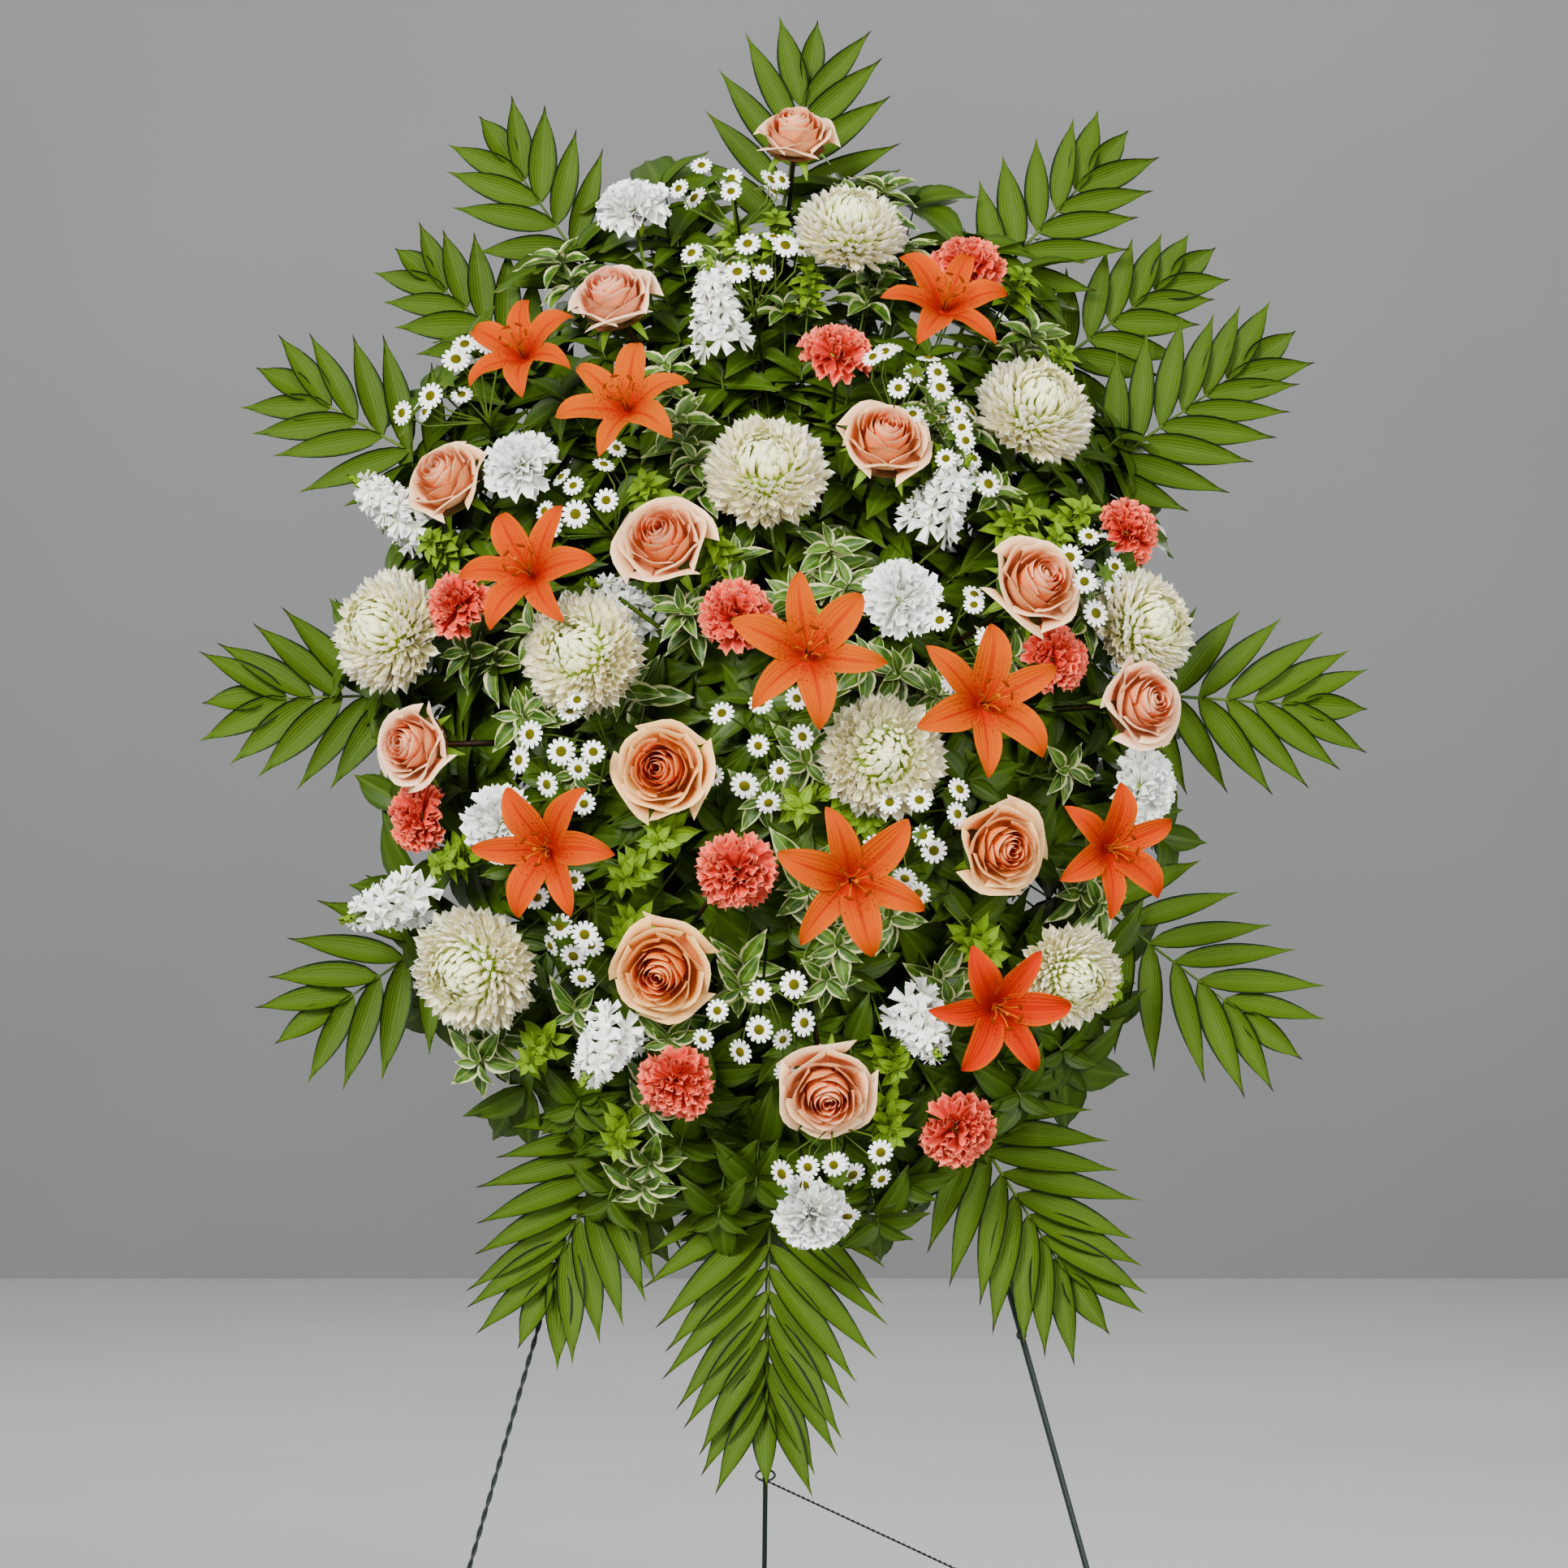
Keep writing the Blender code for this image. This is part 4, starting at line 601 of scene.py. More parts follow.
class Pile:
    """Grids of points gathered into one mesh, with the form that the finishes read."""

    def __init__(self):
        self.points = []
        self.forms = []
        self.tones = []
        self.faces = []
        self.looks = []
        self.count = 0

    def grid(self, x, y, z, along, across, layer, look=0, tone=0.5, turn=None, closed=False):
        parts = [np.asarray(part, float) for part in (x, y, z, along, across, layer)]
        x, y, z, along, across, layer = np.broadcast_arrays(*parts)
        rows, columns = x.shape
        points = np.stack([x, y, z], -1).reshape(-1, 3)
        if turn is not None:
            matrix = np.array(turn)
            points = points @ matrix[:3, :3].T + matrix[:3, 3]
        index = self.count + np.arange(rows * columns).reshape(rows, columns)
        if closed:
            index = np.concatenate([index, index[:, :1]], axis=1)
        corners = [index[:-1, :-1], index[:-1, 1:], index[1:, 1:], index[1:, :-1]]
        quads = np.stack(corners, -1).reshape(-1, 4)
        self.points.append(points)
        self.forms.append(np.stack([along, across, layer], -1).reshape(-1, 3))
        self.tones.append(np.full(rows * columns, tone))
        self.faces += quads.tolist()
        self.looks += [look] * len(quads)
        self.count += rows * columns
        return index

    def tube(self, path, radii, sides=6, look=0, layer=0.0, tone=0.5, turn=None):
        """A round closed tube along a path."""
        path = [Vector(place) for place in path]
        angles = np.linspace(0, math.tau, sides, endpoint=False)
        rows = []
        side = None
        for k, place in enumerate(path):
            way = (path[min(k + 1, len(path) - 1)] - path[max(k - 1, 0)]).normalized()
            side = way.orthogonal() if side is None else side - way * side.dot(way)
            side.normalize()
            other = way.cross(side)
            spokes = [side * math.cos(angle) + other * math.sin(angle) for angle in angles]
            rows.append([tuple(place + spoke * radii[k]) for spoke in spokes])
        ring = np.array(rows)
        share = np.linspace(0, 1, len(path))[:, None]
        index = self.grid(*np.moveaxis(ring, -1, 0), share, 0.0, layer, look, tone, turn, True)
        self.faces += [index[0, :-1][::-1].tolist(), index[-1, :-1].tolist()]
        self.looks += [look] * 2

    def stalk(self, heights, radii, sides, look, tone, turn):
        """A straight tube along the flower's axis."""
        self.tube([(0, 0, z) for z in heights], radii, sides, look, 0.0, tone, turn)

    def mesh(self, name, looks=()):
        mesh = plain_mesh(name, np.concatenate(self.points).tolist(), [], self.faces)
        store(mesh, "form", "FLOAT_VECTOR", "vector", np.concatenate(self.forms))
        store(mesh, "tone", "FLOAT", "value", np.concatenate(self.tones))
        for look in looks:
            mesh.materials.append(LOOKS[look])
        mesh.polygons.foreach_set("material_index", self.looks)
        mesh.shade_smooth()
        mesh.update()
        return linked(name, mesh)


def blade_shape(name, rows, columns, outline, curl, cup, edge_wave=0.0, waves=0, zigzag=0.0, layer=0.0):
    """A petal or leaf of unit length along +X, its face up."""
    pile = Pile()
    share, across = sheet(rows, columns)
    width = outline(share)
    x = np.sin(curl * share) / curl
    z = (1 - np.cos(curl * share)) / curl
    notch = zigzag * np.where(np.arange(columns) % 2 == 0, 1.0, -1.0)[None, :]
    x = x * (1 - 0.1 * across ** 2 * share) + notch * share ** 4
    z = z + cup * across ** 2 * width
    z = z + edge_wave * np.sin(across * waves * math.pi + share * 2.0) * share ** 1.5
    pile.grid(x, across * width / 2, z, share, across, layer)
    return pile.mesh(name)


def strap_outline(width):
    return lambda s: width * (0.62 + 0.38 * np.sin(math.pi * s ** 1.4)) * (1 - s ** 9 * 0.7)


def oval_outline(width, shoulder=0.8):
    return lambda s: width * np.sin(math.pi * np.clip(s, 0.0, 1.0) ** shoulder * 0.97 + 0.04) ** 0.85


def lance_outline(width):
    return lambda s: width * np.sin(math.pi * (s * 0.985 + 0.012) ** 0.72) ** 0.9


def fan_outline(width):
    return lambda s: width * (0.1 + 0.9 * s ** 1.3)


# Growth by Geometry Nodes

class Tree(Nodes):
    """A Geometry Nodes tree with named inputs."""

    def __init__(self, name, **inputs):
        self.tree = bpy.data.node_groups.new(name, "GeometryNodeTree")
        face = self.tree.interface
        self.keys = {}
        for label, kind in inputs.items():
            socket = face.new_socket(name=label, in_out="INPUT", socket_type="NodeSocket" + kind)
            self.keys[label] = socket.identifier
        face.new_socket(name="Result", in_out="OUTPUT", socket_type="NodeSocketGeometry")
        self.given = self.tree.nodes.new("NodeGroupInput").outputs
        self.result = self.tree.nodes.new("NodeGroupOutput").inputs[0]

    def named(self, label, kind):
        node = self.node("GeometryNodeInputNamedAttribute", {"Name": label}, data_type=kind)
        return node.outputs[0]

    def chance(self, kind, low, high):
        """A random value for each copy, and the same ones at every run."""
        first = 0 if kind == "FLOAT_VECTOR" else 2
        sockets = {first: low, first + 1: high, "Seed": self.given["Seed"]}
        return self.node("FunctionNodeRandomValue", sockets, data_type=kind).outputs[first // 2]

    def curve(self):
        return self.node("GeometryNodeMeshToCurve", {0: self.given["Lines"]}).outputs[0]

    def swept(self, curve, sides, radius, thick=None):
        """Ends the tree with a round closed tube along the curve."""
        sockets = {"Resolution": sides, "Radius": radius}
        around = self.node("GeometryNodeCurvePrimitiveCircle", sockets, mode="RADIUS").outputs[0]
        sockets = {"Curve": curve, "Profile Curve": around, "Fill Caps": True}
        body = self.node("GeometryNodeCurveToMesh", sockets)
        if thick is not None and "Scale" in body.inputs:
            self.tree.links.new(thick, body.inputs["Scale"])
        self.finish(body.outputs[0])

    def finish(self, geometry):
        real = self.node("GeometryNodeRealizeInstances", {0: geometry}).outputs[0]
        sockets = {"Geometry": real, "Material": self.given["Finish"]}
        self.tree.links.new(self.node("GeometryNodeSetMaterial", sockets).outputs[0], self.result)

    def grown(self, name, base, **values):
        """The tree's result on a base mesh, as a plain mesh object."""
        modifier = base.modifiers.new("growth", "NODES")
        modifier.node_group = self.tree
        for label, value in values.items():
            modifier[self.keys[label]] = value
        bpy.context.view_layer.update()
        evaluated = base.evaluated_get(bpy.context.evaluated_depsgraph_get())
        mesh = bpy.data.meshes.new_from_object(evaluated)
        bpy.data.objects.remove(base, do_unlink=True)
        for label in ("turn", "size", "thick"):
            if label in mesh.attributes:
                mesh.attributes.remove(mesh.attributes[label])
        mesh.shade_smooth()
        return linked(name, mesh)


def growth_tree():
    """Sets copies of a shape on seats, each with its own turn and size, and a little chance in both."""
    tree = Tree("growth", Seats="Geometry", Shape="Object", Finish="Material", Spread="Float",
                Wobble="Float", Seed="Int")
    shape = tree.node("GeometryNodeObjectInfo", {"Object": tree.given["Shape"]}).outputs["Geometry"]
    spread = tree.given["Spread"]
    sizes = tree.chance("FLOAT", tree.maths("SUBTRACT", 1.0, spread), tree.maths("ADD", 1.0, spread))
    size = tree.vector("SCALE", {0: tree.named("size", "FLOAT_VECTOR"), "Scale": sizes})
    turn = tree.named("turn", "QUATERNION")
    sockets = {"Points": tree.given["Seats"], "Instance": shape, "Rotation": turn, "Scale": size}
    placed = tree.node("GeometryNodeInstanceOnPoints", sockets).outputs[0]
    ends = []
    for amount in (tree.maths("MULTIPLY", tree.given["Wobble"], -1.0), tree.given["Wobble"]):
        ends.append(tree.node("ShaderNodeCombineXYZ", {k: amount for k in range(3)}).outputs[0])
    sockets = {"Instances": placed, "Rotation": tree.chance("FLOAT_VECTOR", *ends)}
    tree.finish(tree.node("GeometryNodeRotateInstances", sockets).outputs[0])
    return tree


def stalk_tree():
    """Round stalks along the edges of a base mesh, as thick as each point says."""
    tree = Tree("stalks", Lines="Geometry", Finish="Material", Sides="Int")
    radius = tree.named("thick", "FLOAT")
    thick = tree.node("GeometryNodeSetCurveRadius", {"Curve": tree.curve(), "Radius": radius})
    tree.swept(thick.outputs[0], tree.given["Sides"], 1.0, radius)
    return tree


def twist_tree():
    """Two wires laid round each other along a line."""
    tree = Tree("twist", Lines="Geometry", Finish="Material", Radius="Float", Step="Float", Pitch="Float")
    sockets = {"Curve": tree.curve(), "Length": tree.given["Step"]}
    fine = tree.node("GeometryNodeResampleCurve", sockets, mode="LENGTH").outputs[0]
    sockets = {"Geometry": fine, "Amount": 2}
    copies = tree.node("GeometryNodeDuplicateElements", sockets, domain="SPLINE")
    phase = tree.maths("DIVIDE", copies.outputs["Duplicate Index"], 2)
    run = tree.node("GeometryNodeSplineParameter").outputs["Length"]
    share = tree.maths("ADD", tree.maths("DIVIDE", run, tree.given["Pitch"]), phase)
    angle = tree.maths("MULTIPLY", share, math.tau)
    normal = tree.node("GeometryNodeInputNormal").outputs[0]
    tangent = tree.node("GeometryNodeInputTangent").outputs[0]
    across = tree.vector("CROSS_PRODUCT", {0: tangent, 1: normal})
    parts = []
    for way, turn in ((normal, "COSINE"), (across, "SINE")):
        amount = tree.maths("MULTIPLY", tree.maths(turn, angle), tree.given["Radius"])
        parts.append(tree.vector("SCALE", {0: way, "Scale": amount}))
    shift = tree.vector("ADD", {0: parts[0], 1: parts[1]})
    laid_round = tree.node("GeometryNodeSetPosition", {"Geometry": copies.outputs[0], "Offset": shift})
    tree.swept(laid_round.outputs[0], 6, tree.given["Radius"])
    return tree


GROWTH = growth_tree()
STALKS = stalk_tree()
TWIST = twist_tree()


class Seats:
    """Where copies of a shape grow, and how each is turned, sized and toned."""

    def __init__(self):
        self.places = []
        self.turns = []
        self.sizes = []
        self.tones = []

    def add(self, place, forward, up, size, tone=0.5):
        """A seat whose shape points forward with its face towards up."""
        forward = forward.normalized()
        side = up.cross(forward)
        side = forward.orthogonal() if side.length < 1e-5 else side
        side.normalize()
        turn = Matrix((forward, side, forward.cross(side))).transposed().to_quaternion()
        self.places.append(tuple(place))
        self.turns.append(tuple(turn))
        self.sizes.append(size if isinstance(size, tuple) else (size, size, size))
        self.tones.append(tone)

    def grow(self, name, shape, look, spread, wobble, seed):
        mesh = plain_mesh(name, self.places)
        store(mesh, "turn", "QUATERNION", "value", self.turns)
        store(mesh, "size", "FLOAT_VECTOR", "vector", self.sizes)
        store(mesh, "tone", "FLOAT", "value", self.tones)
        values = {"Shape": SHAPES[shape], "Finish": LOOKS[look], "Spread": spread, "Wobble": wobble}
        return GROWTH.grown(name, linked(name, mesh), **values, Seed=seed)


def stalks(name, paths, look, sides):
    """Stalks along several paths, each a list of places with a thickness."""
    rows = [row for path in paths for row in path]
    starts = set(np.cumsum([len(path) for path in paths]).tolist())
    edges = [(k, k + 1) for k in range(len(rows) - 1) if k + 1 not in starts]
    mesh = plain_mesh(name, [place for place, radius in rows], edges)
    store(mesh, "thick", "FLOAT", "value", [radius for place, radius in rows])
    return STALKS.grown(name, linked(name, mesh), Finish=LOOKS[look], Sides=sides)


def together(name, parts, body, nodes=()):
    """Joins the parts into one piece that rides on a body and stands for the nodes."""
    first = parts[0]
    if len(parts) > 1:
        with bpy.context.temp_override(
            active_object=first, object=first, selected_objects=parts, selected_editable_objects=parts,
        ):
            bpy.ops.object.join()
    first.name = name
    first.data.name = name
    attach(first, body)
    if nodes:
        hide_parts(*nodes)
    return first


def dress(mesh, look):
    mesh.materials.clear()
    mesh.materials.append(LOOKS[look])


def bare_stem(node, members, look):
    """A copy of the node's solid cut off behind each flower, for its routed stem."""
    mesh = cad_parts[node].data.copy()
    dress(mesh, look)
    bm = bmesh.new()
    bm.from_mesh(mesh)
    bmesh.ops.remove_doubles(bm, verts=bm.verts, dist=0.00002)
    gone = set()
    for m in members:
        head = HEADS[FLOWERS[m].kind]
        radius = head.radius * FLOWERS[m].size
        back = head_turn(PLACES[m], FLOWERS[m].kind, m * ROLL_STEP).inverted()
        for vert in bm.verts:
            seen = back @ vert.co
            if seen.length < head.reach * radius and seen.z > -head.back * radius:
                gone.add(vert)
    bmesh.ops.delete(bm, geom=list(gone), context="VERTS")
    for layer in list(bm.loops.layers.uv):
        bm.loops.layers.uv.remove(layer)
    bm.to_mesh(mesh)
    bm.free()
    mesh.shade_smooth()
    return linked(node + "_stem", mesh)


# Flowers

ROSE_PETALS = 30
MUM_FLORETS = 400
MUM_HEART = 0.22
CARNATION_PETALS = 46
STOCK_FLORETS = 24
STOCK_BUDS = 9
DAISY_PETALS = 13
DAISIES_IN_SPRAY = 9


def rose(pile, turn, size, tone, seed):
    """Petals wrapped round the axis, tight at the heart and rolled back outside."""
    draw = np.random.default_rng(seed).uniform
    turn = turn @ Matrix.Scale(size, 4)
    along, across = sheet(9, 9)
    for k in range(ROSE_PETALS):
        layer = k / (ROSE_PETALS - 1)
        opened = max(0.0, (layer - 0.3) / 0.7)
        rim = 0.05 + 0.31 * min(1.0, layer / 0.4) + 0.5 * max(0.0, (layer - 0.4) / 0.6) ** 1.1
        high = 0.56 - 0.46 * opened ** 1.3 + draw(-0.03, 0.03)
        half = 1.6 - 0.78 * min(1.0, layer / 0.45)
        swell = rim + 0.12 * (1 - opened) - 0.06 * opened
        radius = bezier(along, 0.1 + 0.14 * layer, rim * 0.7 + 0.18, swell, rim)
        height = bezier(along, -0.45, -0.42 + 0.05 * opened, high * 0.35 - 0.1 * opened, high)
        curl = np.clip((along - 0.72) / 0.28, 0, 1) ** 2 * (0.03 + 0.1 * opened)
        side = np.abs(across) ** 2.2
        tuck = side * along ** 2
        radius = radius + curl * (1 + 0.8 * side) - 0.05 * tuck * (1 - opened)
        height = height - curl * 0.8 - (0.1 + 0.16 * opened) * tuck
        phase = draw(0, math.tau)
        radius = radius + (0.012 + 0.03 * opened) * np.sin(across * 4.2 + phase) * along ** 3
        height = height + 0.022 * opened * np.sin(across * 5.0 + phase * 1.7) * along ** 3
        spread = half * (0.4 + 0.6 * along ** 0.7)
        angle = k * GOLDEN + draw(-0.15, 0.15) + across * spread
        pile.grid(*laid(radius, angle), height, along, across, layer, 0, tone, turn)
    along = along[::2]
    across = across[:, ::2]
    for k in range(5):
        angle = k * math.tau / 5 + across * 0.3 * (1 - along ** 2 * 0.95)
        height = -0.46 - 0.1 * along ** 2 - 0.3 * along ** 4
        pile.grid(*laid(0.1 + 0.75 * along, angle), height, along, across, 1.0, 1, 0.4, turn)
    pile.stalk([-0.44, -0.55, -0.68, -0.8], [0.2, 0.22, 0.15, 0.08], 8, 1, 0.4, turn)


def lily(pile, turn, size, tone, seed):
    """Six petals that rise from the throat and roll back, with stamens and a pistil."""
    draw = np.random.default_rng(seed).uniform
    turn = turn @ Matrix.Scale(size, 4)
    along, across = sheet(12, 7)
    for k in range(6):
        broad, lift = ((0.36, 0.02), (0.28, -0.03))[k % 2]
        radius = 0.1 + (1.66 + draw(-0.06, 0.06)) * along ** 0.96
        height = bezier(along, -0.3, 0.3 + lift, 0.58 + lift, 0.1 + draw(-0.12, 0.12))
        width = broad * np.sin(math.pi * (along * 0.97 + 0.02) ** 0.86) ** 0.75 + 0.13 * (1 - along) ** 2
        bow = draw(-0.16, 0.16) * along ** 2
        phase = draw(0, math.tau)
        height = height + 0.26 * across ** 2 * width - 0.02 * (1 - np.abs(across)) ** 3
        height = height + 0.03 * np.sin(along * 11 + phase + across) * np.abs(across) ** 2
        radius = radius - np.clip((along - 0.8) / 0.2, 0, 1) ** 2 * 0.06
        points = laid(radius, k * math.tau / 6 + bow, across * width)
        pile.grid(*points, height, along, across, k % 2, 0, tone, turn)
    for k in range(6):
        angle = (k + 0.5) * math.tau / 6 + draw(-0.15, 0.15)
        ends = [(0.05, -0.22), (0.1, 0.15), (0.2, 0.48), (0.36, 0.72)]
        path = [Vector((r * math.cos(angle), r * math.sin(angle), z)) for r, z in ends]
        pile.tube(path, [0.03, 0.026, 0.022, 0.016], 5, 1, 0.0, tone, turn)
        way = Vector((-math.sin(angle), math.cos(angle), 0.3)).normalized() * 0.11
        anther = [path[-1] + way * share for share in (-1, -0.5, 0.5, 1)]
        pile.tube(anther, [0.01, 0.036, 0.036, 0.01], 6, 1, 1.0, tone, turn)
    pistil = [(0, 0, -0.25), (0.01, 0, 0.3), (0.03, 0, 0.8), (0.035, 0, 0.9)]
    pile.tube(pistil, [0.045, 0.03, 0.028, 0.055], 6, 1, 0.0, tone, turn)
    pile.stalk([-0.31, -0.38, -0.5], [0.16, 0.13, 0.07], 8, 0, tone, turn)


def ball_pile(pile, turn, radius, squash, layer=0.0, segments=10, rows=7, full=math.pi):
    polar = np.linspace(0.02, full - 0.02, rows)[:, None]
    angle = np.linspace(0, math.tau, segments, endpoint=False)[None, :]
    points = (*laid(radius * np.sin(polar), angle), radius * squash * np.cos(polar))
    pile.grid(*points, 1 - polar / math.pi, 0.0, layer, turn=turn, closed=True)


def add_mum(pile, groups, turn, size, tone, seed):
    """Florets all over a ball, curved in over the heart and out at the sides."""
    draw = np.random.default_rng(seed).uniform
    spin = turn.to_3x3()
    for k in range(MUM_FLORETS):
        share = (k + 0.5) / MUM_FLORETS
        height = 1 - share * 1.66
        around = math.sqrt(max(0.0, 1 - height * height))
        angle = k * GOLDEN
        normal = Vector((around * math.cos(angle), around * math.sin(angle), height))
        lean = outward(angle) * (0.1 + 0.35 * share)
        way = (normal + lean + Vector(draw(-0.12, 0.12, 3))).normalized()
        length = size * (0.36 + 0.18 * min(1.0, share * 1.5)) * draw(0.86, 1.12)
        place = Vector((normal.x * 0.6, normal.y * 0.6, normal.z * 0.5)) * size
        up = Vector((-math.cos(angle) * height, -math.sin(angle) * height, around + 0.4))
        heart = share < MUM_HEART
        scale = (length, length * (0.85 if heart else 1.0), length)
        shade = tone + (share - 0.5) * 0.2
        groups[0 if heart else 1].add(turn @ place, spin @ way, spin @ up, scale, shade)
    ball_pile(pile, turn, size * 0.62, 0.83, 1.0)


def add_carnation(pile, groups, turn, size, tone, seed):
    """Ruffled petals, upright in the middle and spread flat outside, over a green cup."""
    draw = np.random.default_rng(seed).uniform
    spin = turn.to_3x3()
    for k in range(CARNATION_PETALS):
        share = (k + 0.5) / CARNATION_PETALS
        polar = math.radians(4 + 92 * share ** 0.62)
        out = outward(k * GOLDEN)
        way = out * math.sin(polar) + Vector((0, 0, math.cos(polar)))
        root = Vector((0, 0, -0.34)) + out * 0.05
        reach = 0.8 + 0.22 * share - 0.04 * math.cos(polar)
        up = Vector((0, 0, math.sin(polar))) - out * math.cos(polar)
        twist = Matrix.Rotation(draw(-0.8, 0.8) * (1.15 - share), 3, way)
        shade = tone + draw(-0.25, 0.25)
        groups[k % 2].add(turn @ (root * size), spin @ way, spin @ (twist @ up), size * reach, shade)
    cup = turn @ Matrix.Scale(size, 4)
    pile.stalk([-0.24, -0.5, -0.95, -1.15], [0.2, 0.2, 0.17, 0.08], 8, 0, 0.2, cup)


def add_stock(pile, groups, turn, size, tone, seed):
    """Double florets round a spike, with buds at its tip."""
    draw = np.random.default_rng(seed).uniform
    spin = turn.to_3x3()
    for k in range(STOCK_FLORETS):
        share = (k + 0.5) / STOCK_FLORETS
        out = outward(k * GOLDEN * 1.02)
        place = (out * (0.78 - 0.46 * share) + Vector((0, 0, -0.9 + 3.1 * share))) * size
        way = out + Vector((0, 0, 0.25 + share * 0.6))
        groups[0].add(turn @ place, spin @ way, spin @ UPWARD, size * (0.72 - 0.26 * share))
    for k in range(STOCK_BUDS):
        out = outward(k * GOLDEN)
        place = (out * 0.12 + Vector((0, 0, 2.2 + 0.06 * k))) * size
        way = out + Vector((0, 0, 1.0 + 0.2 * k))
        groups[1].add(turn @ place, spin @ way, spin @ UPWARD, size * draw(0.26, 0.38))
    pile.stalk([-1.0, 0.5, 2.4], [0.1, 0.09, 0.05], 5, 0, 0.2, turn @ Matrix.Scale(size, 4))


def stock_floret():
    """A small double flower of nine petals, facing +X."""
    pile = Pile()
    along, across = sheet(3, 3)
    for k in range(9):
        petals, start, reach, rise = (5, 0.0, 1.0, 0.18) if k < 5 else (4, 0.4, 0.62, 0.55)
        width = 0.34 * reach * (0.35 + 0.65 * along ** 0.8)
        height = rise * along + 0.1 * across ** 2 * along
        points = laid(reach * along, k * math.tau / petals + start, across * width)
        pile.grid(height, *points, along, across, 0.0)
    return pile.mesh("stock_floret")


def daisy_rays():
    """Short rounded rays round a hole, facing +X."""
    pile = Pile()
    along, across = sheet(3, 3)
    for k in range(DAISY_PETALS):
        width = 0.17 * (0.65 + 0.5 * along) * (1 - 0.35 * along ** 6)
        out = 0.3 + 0.7 * along * (1 - 0.1 * across ** 2)
        height = 0.06 + 0.1 * along - 0.16 * along ** 2 - 0.05 * across ** 2
        points = laid(out, k * math.tau / DAISY_PETALS, across * width)
        pile.grid(height, *points, 0.3 + 0.7 * along, across, 0.0)
    return pile.mesh("daisy_rays")


def daisy_heart():
    pile = Pile()
    ball_pile(pile, Matrix.Rotation(math.pi / 2, 4, "Y"), 0.4, 0.62, 0.0, 9, 5, 2.0)
    return pile.mesh("daisy_heart")


def add_daisies(rays, hearts, paths, place, seed):
    """A spray of small daisies that fork from where the solid's daisy stands."""
    draw = np.random.default_rng(seed).uniform
    ray = ray_to(place)
    across = ray.cross(UPWARD).normalized()
    other = ray.cross(across).normalized()
    fork = place - ray * 0.05
    for k in range(DAISIES_IN_SPRAY):
        angle = k * GOLDEN + draw(-0.3, 0.3)
        reach = 0.0 if k == 0 else 0.013 + 0.0115 * math.sqrt(k)
        shift = across * math.cos(angle) * reach + other * math.sin(angle) * reach * 1.15
        seat = place + shift + ray * draw(-0.018, 0.012)
        way = (ray * 0.5 + OUTWARD * 0.8 + shift * 14 + Vector(draw(-0.3, 0.3, 3))).normalized()
        size = draw(0.009, 0.0125)
        up = across * math.cos(angle * 3) + other * math.sin(angle * 3)
        rays.add(seat, way, up, size)
        hearts.add(seat, way, up, size, draw(0.2, 0.8))
        bend = fork.lerp(seat, 0.6) + shift * 0.25
        paths.append([(fork, 0.0009), (bend, 0.0008), (seat - way * 0.001, 0.0006)])


def whorl(seats, place, way, length, seed, leaves=8):
    """Oval leaves round the end of a twig."""
    draw = np.random.default_rng(2000 + seed).uniform
    side = way.orthogonal().normalized()
    for k in range(leaves):
        inner = k >= leaves * 0.6
        spin = Matrix.Rotation(k * GOLDEN + draw(-0.2, 0.2), 3, way)
        out = spin @ side
        rise = draw(0.5, 0.9) if inner else draw(0.05, 0.4)
        reach = length * (0.72 if inner else 1.0) * draw(0.85, 1.12)
        start = place - way * (0.004 if inner else 0.01)
        seats.add(start, out + way * rise, way, reach, draw(0.2, 0.8))


# Shapes that are set out many times: rows, columns, outline, curl, cup, then what only some have
SHAPES = {name: blade_shape(name, *settings) for name, settings in {
    "strap_out": (6, 3, strap_outline(0.3), 1.0, 0.5, 0.0, 0, 0.0, 1.0),
    "strap_in": (6, 3, strap_outline(0.34), 1.8, 0.55, 0.0, 0, 0.0, 0.12),
    "ruffle_a": (4, 11, fan_outline(0.95), 0.35, 0.0, 0.13, 2.5, 0.045),
    "ruffle_b": (4, 11, fan_outline(0.8), -0.25, 0.0, 0.16, 2.0, 0.05),
    "bud": (4, 5, oval_outline(0.7), 0.9, 0.9),
    "palm_leaflet_a": (10, 5, lance_outline(1.0), 0.1, 0.26),
    "palm_leaflet_b": (10, 5, lance_outline(1.0), -0.38, 0.22),
    "oval_leaf": (6, 5, oval_outline(0.42), -0.35, 0.3),
    "broad_leaf": (7, 5, oval_outline(0.46, 0.72), -0.55, 0.22),
    "small_leaf": (4, 3, oval_outline(0.5), -0.3, 0.3),
    "fern_leaflet": (4, 3, lance_outline(0.3), -0.3, 0.3),
}.items()}
SHAPES.update(stock_floret=stock_floret(), daisy_rays=daisy_rays(), daisy_heart=daisy_heart())

# The looks of each kind's own mesh, and the shapes that grow on it with theirs
HEAD_LOOKS = {
    "rose": ("rose", "bright_leaf"),
    "lily": ("lily", "stamen"),
    "mum": ("bright_leaf",),
    "carnation": ("bright_leaf",),
    "white_carnation": ("bright_leaf",),
    "stock": ("stem",),
}
HEAD_SHAPES = {
    "rose": (),
    "lily": (),
    "mum": (("strap_in", "mum"), ("strap_out", "mum")),
    "carnation": (("ruffle_a", "carnation"), ("ruffle_b", "carnation")),
    "white_carnation": (("ruffle_a", "white_carnation"), ("ruffle_b", "white_carnation")),
    "stock": (("stock_floret", "white"), ("bud", "bright_leaf")),
    "daisy": (("daisy_rays", "white"), ("daisy_heart", "daisy_heart")),
    "greens": (("oval_leaf", "variegated"),),
}
SOLID_HEADS = {"rose": rose, "lily": lily}
GROWN_HEADS = {
    "mum": add_mum,
    "carnation": add_carnation,
    "white_carnation": add_carnation,
    "stock": add_stock,
}
WHORL_LENGTH = 0.034


